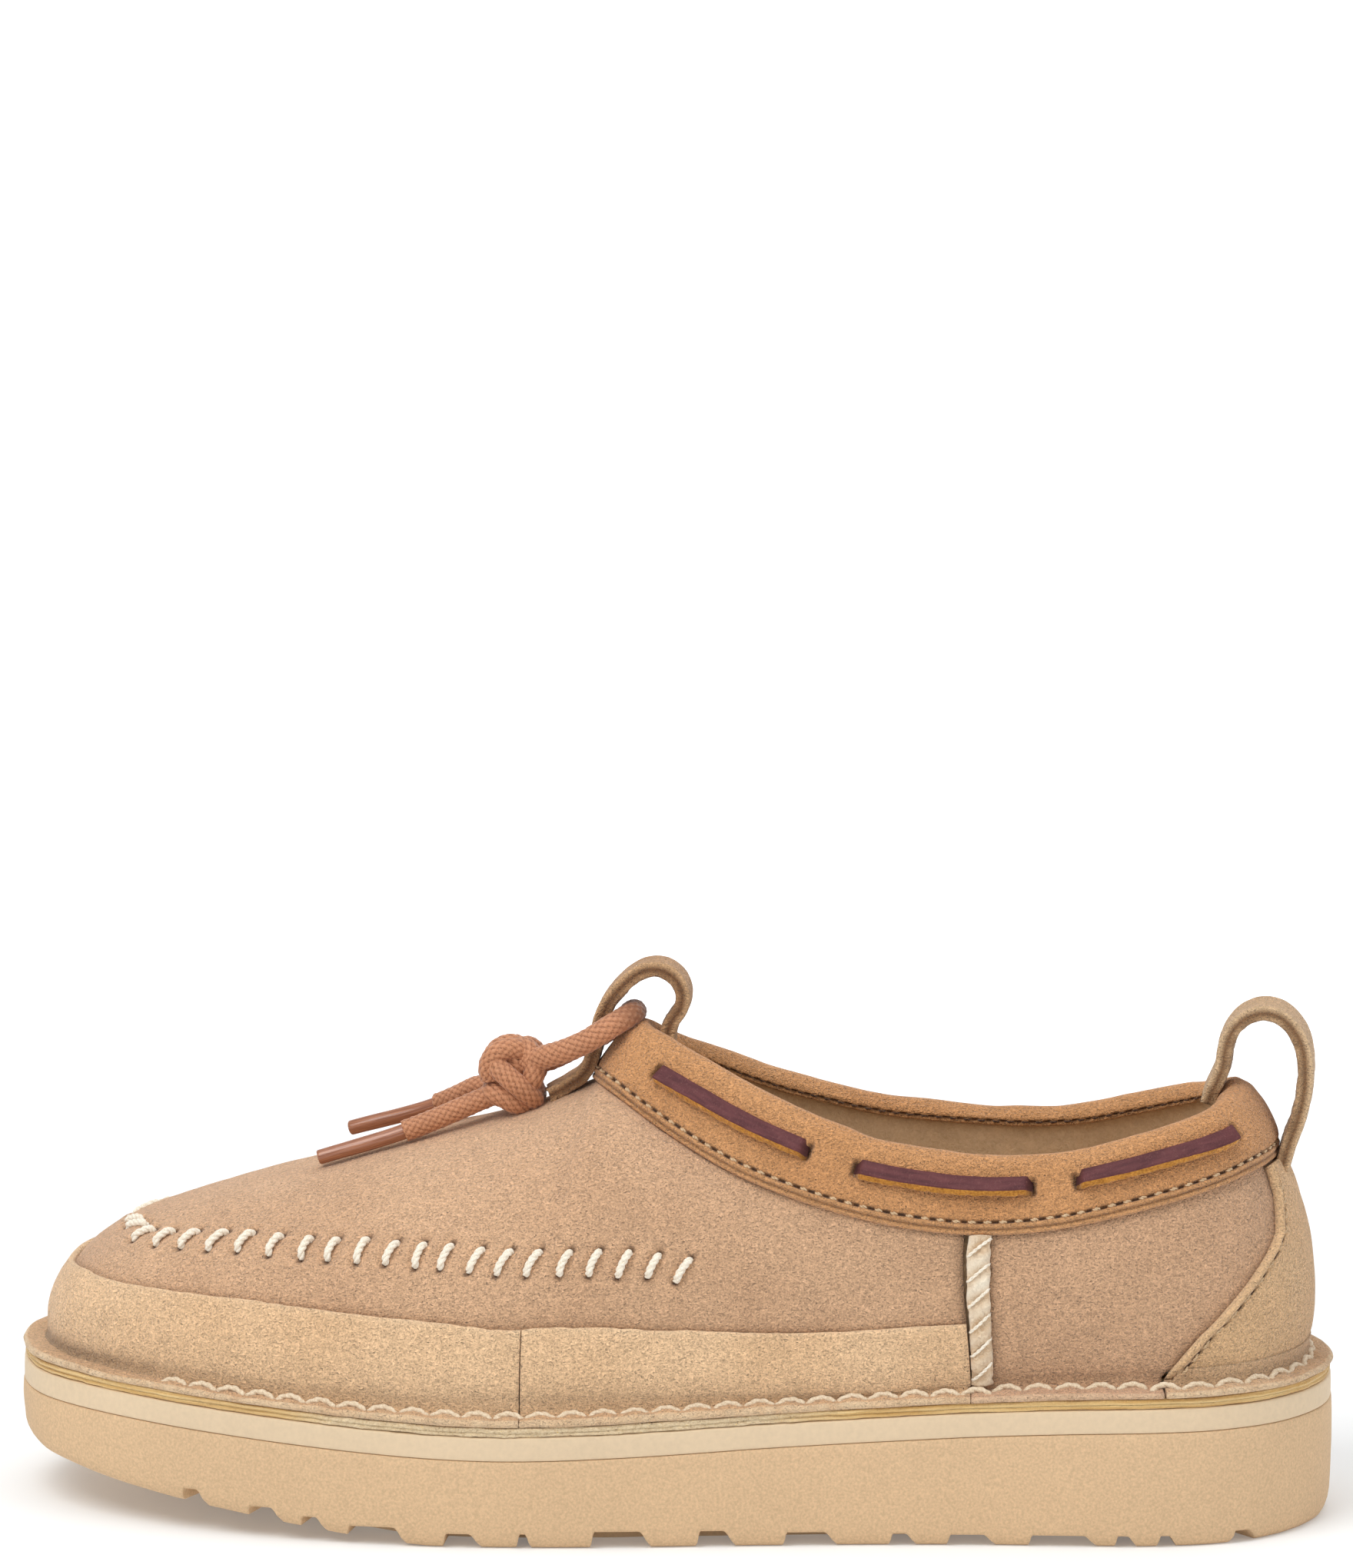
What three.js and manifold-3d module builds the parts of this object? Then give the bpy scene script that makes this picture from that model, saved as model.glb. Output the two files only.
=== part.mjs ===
// Left slip-on suede moccasin, in millimetres. +Z is up, +X points to the heel and -Y to the
// outer (lateral) side. The origin is on the ground under the middle of the sole.
//
// Places on the upper are given by stations:
//   loop station    0 at the toe, 0.5 at the heel (lateral side), back to 1 (medial side)
//   collar station  the same round the foot opening, with 0 at the throat
//   height station  0 at the foot of the wall, 1 at the collar seam, 2 at the top line
import * as THREE from "three";
import Module from "manifold-3d";

// ---------- driving dimensions ----------
const GAP = 0.3;                 // clearance between neighbouring layers
// sole layers, [bottom, top] above the top of the outsole
const FOAM_STRIP = [GAP, 5.1];
const WELT = [FOAM_STRIP[1] + GAP, 7.2];
const FLANGE_BOTTOM = WELT[1] + GAP;
const FLANGE_TOP = 9.4;
const INSOLE_BOARD = [FLANGE_BOTTOM, FLANGE_BOTTOM + 1.7];
const FOOTBED = [INSOLE_BOARD[1] + GAP, FLANGE_BOTTOM + 6.6];

const SUEDE = 1.6;
const LINING = 2.4;
const OVERLAY = [0.35, 1.7];     // rand faces, out from the suede surface
const COUNTER_FACES = OVERLAY.map(face => face + 0.1);
const CORD_R = 2.5;
const AGLET_R = 1.65;
const AGLET_LENGTH = 20;
const STRAP_THICKNESS = 2.6;
const FRONT_STRAP_WIDTH = 8.4;
const HEEL_STRAP_WIDTH = 12;
const THONG_WIDTH = 3.2;
const THONG_THICKNESS = 1.3;

const THROAT_X = -16.2;          // front end of the collar seam
const FAN_X = -86;               // the wall lines round the toe meet here on the ridge
const COLLAR_END = 0.76;         // station of the heel in the measured collar tables

// loop stations of the seams
const VAMP_END = 0.3525;
const QUARTER_START = 0.3595;
const QUARTER_TURN_END = 0.4135; // behind it the counter forms the flange
const SIDE_SEAM = [0.3532, 0.3588];
const LINING_QUARTER_START = 0.3545;

// ---------- measured tables ----------
// sole edge: x, lateral y, medial y
const SOLE_ROWS = [
  [-139.6, 5, 5], [-138.2, -6.5, 17], [-133, -19, 27.5], [-123, -29.6, 37],
  [-108, -38.9, 45.3], [-90, -46.1, 50.5], [-70, -50.7, 52.6], [-50, -52.8, 51.2],
  [-30, -52.8, 47.2], [-10, -51, 42.4], [10, -48.1, 38.9], [30, -45.3, 37.2],
  [50, -43, 37.6], [70, -41.5, 39.2], [88, -40.9, 40.5], [104, -39.9, 40],
  [117, -36.5, 36.8], [127.5, -29.4, 29.7], [135, -19.2, 19.4], [138.8, -8.5, 8.6],
  [139.6, 0, 0],
];
// top of the outsole: x, z
const OUTSOLE_TOP = [
  [-139.6, 23.4], [-120, 23], [-100, 22], [-80, 20.8], [-60, 19.5], [-45, 18.7],
  [-35, 18.45], [-22, 18.6], [0, 19.5], [20, 20.7], [45, 22], [66, 23.1], [90, 24],
  [115, 24.4], [139.6, 24.4],
];
// underside of the outsole: x, z
const OUTSOLE_BOTTOM = [
  [-139.6, 12.6], [-134, 11.3], [-128, 10.5], [-122, 9.5], [-115, 8.4], [-106, 7.1],
  [-94, 5.6], [-83, 4.2], [-73, 2.9], [-64, 1.7], [-55, 0.6], [-47, 0], [-40, 0], [139.6, 0],
];
// centre line of the vamp: x, z
const RIDGE = [
  [-100, 63.8], [-86, 68.2], [-70, 72.8], [-50, 78.3], [-30, 83.9], [THROAT_X, 89.9],
];
// where wall lines ahead of the throat meet the ridge: share of the way from toe to throat, x
const RIDGE_ARRIVALS = [
  [0, FAN_X], [0.30, FAN_X], [0.36, -85.2], [0.42, -82.5], [0.5, -76], [0.6, -64.5],
  [0.7, -52.5], [0.8, -40], [0.9, -28], [1, THROAT_X],
];
// where wall lines behind the throat meet the collar: x of the sole row, measured collar station
const COLLAR_ARRIVALS = [
  [-12, 0.06], [0, 0.125], [12, 0.175], [26, 0.235], [40, 0.29], [53, 0.345], [68, 0.405],
  [83, 0.46], [97, 0.515], [108, 0.56], [119, 0.61], [128, 0.66], [135.5, 0.712],
];
// lateral half of the collar seam: measured collar station, x, y, z
const COLLAR_SEAM = [
  [0, THROAT_X, 0, 89.9], [0.04, -14.8, -6.3, 90.2], [0.08, -10.6, -12.3, 88.6],
  [0.12, -4.5, -17.3, 85.3], [0.165, 4, -22.6, 80.9], [0.21, 14, -27.3, 76.2],
  [0.26, 26, -31, 72], [0.31, 39, -33.3, 68.5], [0.36, 53, -34.3, 66],
  [0.41, 68, -34.6, 65.1], [0.46, 83, -34.2, 66.4], [0.51, 97, -32.4, 69.3],
  [0.56, 108, -29.2, 72], [0.61, 116.6, -24, 74.2], [0.66, 122.4, -17.4, 75.9],
  [0.71, 125.8, -9, 76.4], [COLLAR_END, 127, 0, 76.5],
];
// lateral half of the top line: measured collar station, x, y, z
const TOP_LINE = [
  [0, -7.6, 0, 102.3], [0.04, -6.4, -5, 102], [0.08, -2.6, -9, 100.8],
  [0.12, 2.4, -12.6, 98.8], [0.165, 10, -16.6, 95.8], [0.21, 19, -20.6, 91.8],
  [0.26, 30, -24.4, 87.5], [0.31, 42, -27.2, 83.5], [0.36, 55, -28.7, 81.2],
  [0.41, 69, -29, 80], [0.46, 83, -28.2, 80.5], [0.51, 96, -26, 83.3],
  [0.56, 107, -22.4, 86.6], [0.61, 114.2, -17.4, 89.2], [0.66, 117.6, -11.6, 90.5],
  [0.71, 119, -5.8, 91.1], [COLLAR_END, 119.5, 0, 91.3],
];
// top edge of the rand: loop station, height station
const RAND_TOP = [
  [0, 0.29], [0.019, 0.30], [0.0355, 0.312], [0.051, 0.302], [0.072, 0.297],
  [0.1005, 0.285], [0.119, 0.268], [0.133, 0.250], [0.1475, 0.235], [0.159, 0.223],
  [0.174, 0.210], [0.194, 0.188], [0.209, 0.175], [0.222, 0.170], [0.244, 0.180],
  [0.273, 0.223], [0.2905, 0.263], [0.309, 0.315], [0.3235, 0.365], [0.337, 0.410],
  [0.3535, 0.440],
];
// front edge of the heel counter: height station, loop station
const COUNTER_EDGE = [
  [0, 0.4135], [0.085, 0.4165], [0.175, 0.421], [0.26, 0.426], [0.325, 0.4315],
  [0.393, 0.4365], [0.46, 0.442], [0.532, 0.448], [0.598, 0.454], [0.672, 0.46],
  [0.772, 0.4625], [0.845, 0.4645], [0.925, 0.4645], [1, 0.4645],
];
// ends of the vamp whipstitches, lateral half from the toe back: loop station, height station
const STITCH_LOW = [
  [0.011, 0.535], [0.0225, 0.53], [0.045, 0.497], [0.0625, 0.492], [0.078, 0.49],
  [0.092, 0.478], [0.105, 0.465], [0.118, 0.438], [0.1305, 0.413], [0.14, 0.4],
  [0.1505, 0.385], [0.1605, 0.372], [0.171, 0.355], [0.1795, 0.345], [0.1895, 0.328],
  [0.199, 0.312], [0.209, 0.297], [0.2205, 0.283], [0.231, 0.285], [0.241, 0.297],
  [0.251, 0.323], [0.2605, 0.338],
];
const STITCH_HIGH = [
  [0.024, 0.588], [0.037, 0.583], [0.0505, 0.568], [0.0655, 0.573], [0.0815, 0.573],
  [0.0965, 0.562], [0.1085, 0.545], [0.1205, 0.515], [0.132, 0.49], [0.142, 0.473],
  [0.1525, 0.463], [0.1635, 0.438], [0.173, 0.425], [0.1825, 0.413], [0.1935, 0.39],
  [0.2035, 0.37], [0.2135, 0.352], [0.2245, 0.34], [0.235, 0.352], [0.2455, 0.378],
  [0.2555, 0.405], [0.2665, 0.435],
];

// ---------- small maths ----------
const add = (a, b, factor = 1) => a.map((v, i) => v + factor * b[i]);
const sub = (a, b) => a.map((v, i) => v - b[i]);
const scale = (a, factor) => a.map(v => v * factor);
const dot = (a, b) => a.reduce((sum, v, i) => sum + v * b[i], 0);
const length = a => Math.hypot(...a);
const unit = a => scale(a, 1 / (length(a) || 1));
const cross = (a, b) => [
  a[1] * b[2] - a[2] * b[1],
  a[2] * b[0] - a[0] * b[2],
  a[0] * b[1] - a[1] * b[0],
];
// a point moved along two axes
const inFrame = (p, axisA, a, axisB, b) => add(add(p, axisA, a), axisB, b);
const clamp = (v, low, high) => Math.min(high, Math.max(low, v));
const mix = (a, b, share) => a * (1 - share) + b * share;
const wrap = v => v - Math.floor(v);
const bump = (distance, width) => Math.exp(-((distance / width) ** 2));
const spread = (a, b, n) => Array.from({ length: n }, (_, i) => a + (b - a) * i / (n - 1));
function smooth(v, low, high) {
  const t = clamp((v - low) / (high - low), 0, 1);
  return t * t * (3 - 2 * t);
}

// straight-line lookup in a two-column table
function linear(table, x) {
  if (x <= table[0][0]) return table[0][1];
  for (let i = 1; i < table.length; i++) {
    const [x0, y0] = table[i - 1];
    const [x1, y1] = table[i];
    if (x <= x1) return y0 + (y1 - y0) * (x - x0) / (x1 - x0);
  }
  return table[table.length - 1][1];
}

// slope of column k at row j, weighted between the neighbouring chords
function slopeAt(rows, j, k) {
  const chord = i => (rows[i + 1][k] - rows[i][k]) / (rows[i + 1][0] - rows[i][0]);
  const last = rows.length - 1;
  if (j === 0) return chord(0);
  if (j === last) return chord(last - 1);
  const before = rows[j][0] - rows[j - 1][0];
  const after = rows[j + 1][0] - rows[j][0];
  return (chord(j - 1) * after + chord(j) * before) / (before + after);
}

// smooth cubic through a table: column 0 is the parameter, the others are returned
function hermite(table, x, period = 0) {
  let rows = table;
  if (period) {
    const shifted = (part, by) => part.map(([at, ...rest]) => [at + by, ...rest]);
    rows = [...shifted(table.slice(-2), -period), ...table, ...shifted(table.slice(0, 3), period)];
    x = x - period * Math.floor(x / period);
  }
  let i = 0;
  while (i < rows.length - 2 && x >= rows[i + 1][0]) i++;
  const h = rows[i + 1][0] - rows[i][0];
  let t = (x - rows[i][0]) / h;
  if (!period) t = clamp(t, 0, 1);
  const t2 = t * t;
  const t3 = t2 * t;
  return rows[0].slice(1).map((_, column) => {
    const k = column + 1;
    return (2 * t3 - 3 * t2 + 1) * rows[i][k] + (t3 - 2 * t2 + t) * h * slopeAt(rows, i, k)
      + (-2 * t3 + 3 * t2) * rows[i + 1][k] + (t3 - t2) * h * slopeAt(rows, i + 1, k);
  });
}

// n points, evenly placed on a smooth curve through the given ones
function smoothPath(points, n) {
  let run = 0;
  const table = points.map((p, i) => {
    if (i) run += length(sub(p, points[i - 1]));
    return [run, ...p];
  });
  return Array.from({ length: n }, (_, i) => hermite(table, run * i / (n - 1)));
}

// ---------- sole edge ----------
// x and loop station of each sole row on the lateral side, measured along the mean half width
const ROW_STATIONS = (() => {
  const halfWidth = row => (row[2] - row[1]) / 2;
  const runs = [0];
  for (let i = 1; i < SOLE_ROWS.length; i++) {
    const [a, b] = [SOLE_ROWS[i - 1], SOLE_ROWS[i]];
    runs.push(runs[i - 1] + Math.hypot(b[0] - a[0], halfWidth(b) - halfWidth(a)));
  }
  return SOLE_ROWS.map((row, i) => [row[0], runs[i] / runs[runs.length - 1] * 0.5]);
})();
const station = x => linear(ROW_STATIONS, x);

// the whole sole edge: loop station, x, y
const OUTLINE = [
  ...SOLE_ROWS.map(([x, lateral], i) => [ROW_STATIONS[i][1], x, lateral]),
  ...SOLE_ROWS.map(([x, , medial], i) => [1 - ROW_STATIONS[i][1], x, medial])
    .slice(1, -1).reverse(),
];
const outline = s => hermite(OUTLINE, s, 1);
function outNormal(s) {
  const run = unit(sub(outline(s + 1e-3), outline(s - 1e-3)));
  return [run[1], -run[0]];
}
const toToe = s => Math.min(s, 1 - s);
function flangeWidth(s) {
  s = wrap(s);
  return 5.8 + 1.3 * bump(toToe(s), 0.06) + 1.4 * bump(Math.abs(s - 0.5), 0.06);
}
// a point inside the sole edge; by default the foot of the wall
const insetPoint = (s, inset = flangeWidth(s)) => add(outline(s), outNormal(s), -inset);
const outsoleTop = x => hermite(OUTSOLE_TOP, x)[0];
const outsoleBottom = x => linear(OUTSOLE_BOTTOM, x);
const ridge = x => hermite(RIDGE, x)[0];

// ---------- upper surface ----------
// completes a lateral half table; the medial side is slightly narrower and lower
function wholeCollar(half) {
  const lateral = half.map(([c, ...point]) => [c / COLLAR_END * 0.5, ...point]);
  const medial = lateral.slice(1, -1).map(([c, x, y, z]) => {
    const middle = Math.sin(Math.PI * c / 0.5);
    return [1 - c, x, -y * (1 - 0.05 * middle), z - 0.5 * middle - 1.6 * bump(c - 0.13, 0.09)];
  });
  return [...lateral, ...medial.reverse()];
}
const COLLAR_SEAM_LOOP = wholeCollar(COLLAR_SEAM);
const TOP_LINE_LOOP = wholeCollar(TOP_LINE);
const collarSeam = c => hermite(COLLAR_SEAM_LOOP, c, 1);
const topLine = c => hermite(TOP_LINE_LOOP, c, 1);

const THROAT_STATION = station(-22);       // wall lines behind this one reach the collar
const BACK_STATION = station(60);          // from here on the wall has its full back shape
const COLLAR_BY_LOOP = [
  [THROAT_STATION, 0],
  ...COLLAR_ARRIVALS.map(([x, c]) => [station(x), c / COLLAR_END * 0.5]),
  [0.5, 0.5],
];
// collar station reached from a loop station
function collarStation(s) {
  s = wrap(s);
  const c = hermite(COLLAR_BY_LOOP, clamp(toToe(s), THROAT_STATION, 0.5))[0];
  return s > 0.5 ? 1 - c : c;
}

// shape of the wall's curve, as [front, back] values
const WALL_SHAPE = {
  lean: [0.10, 0.30],      // outward lean of the foot, per unit of its rise
  rise: [0.62, 0.33],      // rise of the foot's handle, of the wall height
  reach: [0.54, 0.33],     // length of the upper handle: of the plan run in front, height behind
};
const RIDGE_SHIFT = 2;     // the ridge runs this far to the medial side, fading to the throat
const RIDGE_FADE = 30;
const FRONT_CLIMB = 0.29;  // slope at which the wall meets the front of the collar

// foot, upper end, direction at that end, plan run and front-to-back blend of a wall line
function wallLine(s) {
  const half = toToe(s);
  const foot = insetPoint(s);
  const planRun = top => sub(top.slice(0, 2), foot);
  if (half < THROAT_STATION) {
    const x = hermite(RIDGE_ARRIVALS, half / THROAT_STATION)[0];
    const top = [x, RIDGE_SHIFT * clamp((THROAT_X - x) / RIDGE_FADE, 0, 1), ridge(x)];
    const slope = ridge(x + 0.5) - ridge(x - 0.5);
    const [dx, dy] = unit(planRun(top));
    return { foot, top, direction: unit([dx, dy, slope * dx]), run: length(planRun(top)), back: 0 };
  }
  const back = smooth(half, THROAT_STATION, BACK_STATION);
  const c = collarStation(s);
  const top = collarSeam(c);
  const bandUp = unit(sub(topLine(c), top));
  const [dx, dy] = unit(planRun(top));
  const direction = unit(add(scale([dx, dy, FRONT_CLIMB * dx], 1 - back), bandUp, back));
  return { foot, top, direction, run: length(planRun(top)), back };
}

// cubic Bezier from the flange to the ridge or the collar seam
function wall(s, t) {
  s = wrap(s);
  const { foot, top, direction, run, back } = wallLine(s);
  const start = [...foot, outsoleTop(foot[0]) + FLANGE_TOP];
  const height = top[2] - start[2];
  const rise = mix(...WALL_SHAPE.rise, back) * height;
  const lean = mix(...WALL_SHAPE.lean, back);
  const [frontReach, backReach] = WALL_SHAPE.reach;
  const reach = mix(frontReach * run, backReach * height, back);
  const out = outNormal(s);
  const handleA = add(start, [out[0] * lean, out[1] * lean, 1], rise);
  const handleB = add(top, direction, -reach);
  const u = 1 - t;
  return start.map((v, i) => u * u * u * v + 3 * u * u * t * handleA[i]
    + 3 * u * t * t * handleB[i] + t * t * t * top[i]);
}
function bandPoint(s, t) {
  const c = collarStation(s);
  const seam = collarSeam(c);
  return add(seam, sub(topLine(c), seam), t - 1);
}
const skin = (s, t) => t <= 1 ? wall(s, t) : bandPoint(s, t);

function skinNormal(s, t) {
  const step = 1e-3;
  const onBand = t > 1;
  const low = onBand ? Math.max(1.02, t - 0.02) : clamp(t - 0.01, 0, 0.965);
  const high = low + 0.02;
  const rise = sub(skin(s, high), skin(s, low));
  // up to the throat the collar station stays at 0, so the run is taken straight across
  if (onBand && toToe(wrap(s)) - step < THROAT_STATION) return unit(cross([0, -1, 0], rise));
  const middle = (low + high) / 2;
  return unit(cross(sub(skin(s + step, middle), skin(s - step, middle)), rise));
}
const offSkin = (s, t, distance) => add(skin(s, t), skinNormal(s, t), distance);

// ---------- closed bodies: { points, tris } ----------
const wasm = await Module();
wasm.setup();

// merges points that round to the same 0.0005 mm; ids gives each old point's new index
function weld(points, tris) {
  const seen = new Map();
  const kept = [];
  const ids = points.map(p => {
    const key = p.map(v => Math.round(v * 2000)).join(",");
    if (!seen.has(key)) {
      seen.set(key, kept.length);
      kept.push(p);
    }
    return seen.get(key);
  });
  const welded = tris.map(tri => tri.map(i => ids[i])).filter(tri => new Set(tri).size === 3);
  return { points: kept, tris: welded, ids };
}

// turns the faces outward
function faceOut({ points, tris }) {
  const volume = tris.reduce(
    (sum, [a, b, c]) => sum + dot(points[a], cross(points[b], points[c])) / 6, 0);
  return { points, tris: volume < 0 ? tris.map(([a, b, c]) => [a, c, b]) : tris };
}

// outer and inner sheets joined round every free edge; layout says which points coincide
function thicken(layout, outer, inner, layoutTris) {
  const { points, tris, ids } = weld(layout, layoutTris);
  const n = points.length;
  const both = new Array(2 * n);
  ids.forEach((id, i) => {
    if (both[id]) return;
    both[id] = outer[i];
    both[id + n] = inner[i];
  });
  const edges = new Map();
  for (const tri of tris) {
    tri.forEach((a, i) => edges.set(a + "_" + tri[(i + 1) % 3], [a, tri[(i + 1) % 3]]));
  }
  const all = [...tris, ...tris.map(([a, b, c]) => [a + n, c + n, b + n])];
  for (const [a, b] of edges.values()) {
    if (!edges.has(b + "_" + a)) all.push([b, a, a + n], [b, a + n, b + n]);
  }
  return faceOut({ points: both, tris: all });
}

function gridTris(columns, rows, base = 0) {
  const tris = [];
  for (let i = 0; i < columns - 1; i++) {
    for (let j = 0; j < rows - 1; j++) {
      const a = base + i * rows + j;
      const b = a + rows;
      tris.push([a, b, b + 1], [a, b + 1, a + 1]);
    }
  }
  return tris;
}

// band of triangles between the rings of m points that start at two indices
function ringBand(from, to, m) {
  const tris = [];
  for (let i = 0; i < m; i++) {
    const j = (i + 1) % m;
    tris.push([from + i, from + j, to + j], [from + i, to + j, to + i]);
  }
  return tris;
}

// rings joined in order, with end caps that run across from side to side
function loft(rings) {
  const m = rings[0].length;
  const tris = rings.slice(1).flatMap((_, r) => ringBand(r * m, (r + 1) * m, m));
  const cap = (base, flip) => {
    for (let i = 0; i < m / 2; i++) {
      const a = base + i;
      const c = base + (m - i - 1) % m;
      const d = base + (m - i) % m;
      for (const [p, q, r] of [[a, c, a + 1], [a, d, c]]) tris.push(flip ? [p, r, q] : [p, q, r]);
    }
  };
  cap(0, false);
  cap((rings.length - 1) * m, true);
  return faceOut(weld(rings.flat(), tris));
}

// rings joined in order, either closed on themselves or with fan caps
function sweepRings(rings, closed = false) {
  const m = rings[0].length;
  const n = rings.length;
  const tris = [];
  for (let r = 0; r < (closed ? n : n - 1); r++) {
    tris.push(...ringBand(r * m, (r + 1) % n * m, m));
  }
  if (!closed) {
    const last = (n - 1) * m;
    for (let i = 1; i < m - 1; i++) tris.push([0, i + 1, i], [last, last + i, last + i + 1]);
  }
  return faceOut({ points: rings.flat(), tris });
}

// round tube; radius is a number or a function of the path index
function tube(path, radius, sides, closed = false) {
  const n = path.length;
  const at = i => closed ? path[(i + n) % n] : path[clamp(i, 0, n - 1)];
  const tangent = i => unit(sub(at(i + 1), at(i - 1)));
  const squareTo = (v, axis) => unit(sub(v, scale(axis, dot(v, axis))));
  const first = tangent(0);
  let side = unit(cross(first, Math.abs(first[2]) < 0.9 ? [0, 0, 1] : [1, 0, 0]));
  const frames = path.map((_, i) => {
    side = squareTo(side, tangent(i));
    return [side, cross(tangent(i), side)];
  });
  // a closed tube spreads the frame's leftover twist along its path
  let twist = 0;
  if (closed) {
    const end = squareTo(side, first);
    twist = Math.atan2(dot(end, frames[0][1]), dot(end, frames[0][0]));
  }
  const rings = path.map((p, i) => {
    const r = typeof radius === "function" ? radius(i) : radius;
    return Array.from({ length: sides }, (_, k) => {
      const angle = -twist * i / n + 2 * Math.PI * k / sides;
      return inFrame(p, frames[i][0], r * Math.cos(angle), frames[i][1], r * Math.sin(angle));
    });
  });
  return sweepRings(rings, closed);
}

// flat strap bent in the XZ plane, with chamfered edges; its width runs along Y
function strap(pathXZ, n, width) {
  const path = smoothPath(pathXZ.map(([x, z]) => [x, 0, z]), n);
  const chamfer = 0.5;
  const h = STRAP_THICKNESS / 2;
  const w = width / 2;
  const [hIn, wIn] = [h - chamfer, w - chamfer];
  const section = [
    [-wIn, -h], [wIn, -h], [w, -hIn], [w, hIn], [wIn, h], [-wIn, h], [-w, hIn], [-w, -hIn],
  ];
  return sweepRings(path.map((p, i) => {
    const run = unit(sub(path[Math.min(n - 1, i + 1)], path[Math.max(0, i - 1)]));
    const normal = [-run[2], 0, run[0]];
    return section.map(([y, out]) => inFrame(p, normal, out, [0, 1, 0], y));
  }));
}

function box(x0, x1, y0, y1, z0, z1) {
  return {
    points: [
      [x0, y0, z0], [x1, y0, z0], [x1, y1, z0], [x0, y1, z0],
      [x0, y0, z1], [x1, y0, z1], [x1, y1, z1], [x0, y1, z1],
    ],
    tris: [
      [0, 2, 1], [0, 3, 2], [4, 5, 6], [4, 6, 7], [0, 1, 5], [0, 5, 4],
      [1, 2, 6], [1, 6, 5], [2, 3, 7], [2, 7, 6], [3, 0, 4], [3, 4, 7],
    ],
  };
}

function toManifold({ points, tris }) {
  return new wasm.Manifold(new wasm.Mesh({
    numProp: 3,
    vertProperties: new Float32Array(points.flat()),
    triVerts: new Uint32Array(tris.flat()),
  }));
}
function fromManifold(solid) {
  const { vertProperties, triVerts, numProp } = solid.getMesh();
  const points = [];
  const tris = [];
  for (let i = 0; i < vertProperties.length; i += numProp) {
    points.push([...vertProperties.slice(i, i + 3)]);
  }
  for (let i = 0; i < triVerts.length; i += 3) tris.push([...triVerts.slice(i, i + 3)]);
  return { points, tris };
}
const join = (...bodies) => fromManifold(bodies.map(toManifold).reduce((a, b) => a.add(b)));

// ---------- sole ----------
const SOLE_POINTS = 84;
// side notches, alike on both sides: x from, x to, roof height
const NOTCHES = [
  [-100.5, -95, 9.2], [-86, -78.5, 6.8], [-74.5, -69, 5.4], [-64.5, -52, 4], [-44, -36, 3],
  [-28.5, -25.5, 3.1], [-13, -0.5, 3.6], [9, 17, 3.5], [27, 38, 3], [49, 54.5, 2.6],
  [61, 71, 2.4], [78, 92, 2.4], [96, 100.5, 2.4], [105, 109, 2.4], [120.5, 126, 2.6],
];
const NOTCH_INNER_Y = 14;        // least distance of a notch's inner end from the centre line
const NOTCH_VARIATION = 6;
const NOTCH_OUTER_Y = 70;        // beyond the sole edge
const CHANNELS_X = [-112, -91, -48, -20, 22, 44, 74, 114];
const CHANNEL = { width: 3.2, depth: 1.6, innerY: 7, outerY: 30 };
const BELOW_GROUND = -5;

function soleRing(inset, heightAt) {
  return Array.from({ length: SOLE_POINTS }, (_, i) => {
    const s = i / SOLE_POINTS;
    const [x, y] = insetPoint(s, inset);
    return [x, y, heightAt(x, s)];
  });
}
const plate = (inset, layer) =>
  loft(layer.map(height => soleRing(inset, x => outsoleTop(x) + height)));

function outsole() {
  // extra height of the lower edge at heel and toe
  const lift = s => 3.4 * bump(s - 0.5, 0.045) + 1.0 * bump(toToe(s), 0.05);
  let solid = toManifold(loft([
    soleRing(11, outsoleBottom),
    soleRing(2.4, (x, s) => outsoleBottom(x) + 0.25 * lift(s)),
    soleRing(0.9, (x, s) => outsoleBottom(x) + 0.9 + lift(s)),
    soleRing(0.2, (x, s) => outsoleBottom(x) + 3.4 + lift(s)),
    soleRing(0, outsoleTop),
  ]));
  const cutBothSides = (x0, x1, innerY, outerY, roof) => {
    for (const [y0, y1] of [[-outerY, -innerY], [innerY, outerY]]) {
      solid = solid.subtract(toManifold(box(x0, x1, y0, y1, BELOW_GROUND, roof)));
    }
  };
  for (const [x0, x1, roof] of NOTCHES) {
    const innerY = NOTCH_INNER_Y + NOTCH_VARIATION * Math.abs(Math.sin(x0));
    cutBothSides(x0, x1, innerY, NOTCH_OUTER_Y, roof);
  }
  for (const x of CHANNELS_X) {
    const roof = outsoleBottom(x + CHANNEL.width / 2) + CHANNEL.depth;
    cutBothSides(x, x + CHANNEL.width, CHANNEL.innerY, CHANNEL.outerY, roof);
  }
  return fromManifold(solid);
}

// ---------- sheets on the upper surface ----------
const even = depth => () => depth;

// patches of loop stations by height stations, welded on the bare surface and then offset
function sheet(patches, outerDepth, innerDepth) {
  const bare = [];
  const outer = [];
  const inner = [];
  const tris = [];
  for (const { stations, heights } of patches) {
    tris.push(...gridTris(stations.length, heights.length, bare.length));
    for (const s of stations) {
      for (const t of heights) {
        bare.push(skin(s, t));
        outer.push(offSkin(s, t, outerDepth(s, t)));
        inner.push(offSkin(s, t, innerDepth(s, t)));
      }
    }
  }
  return thicken(bare, outer, inner, tris);
}

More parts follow.
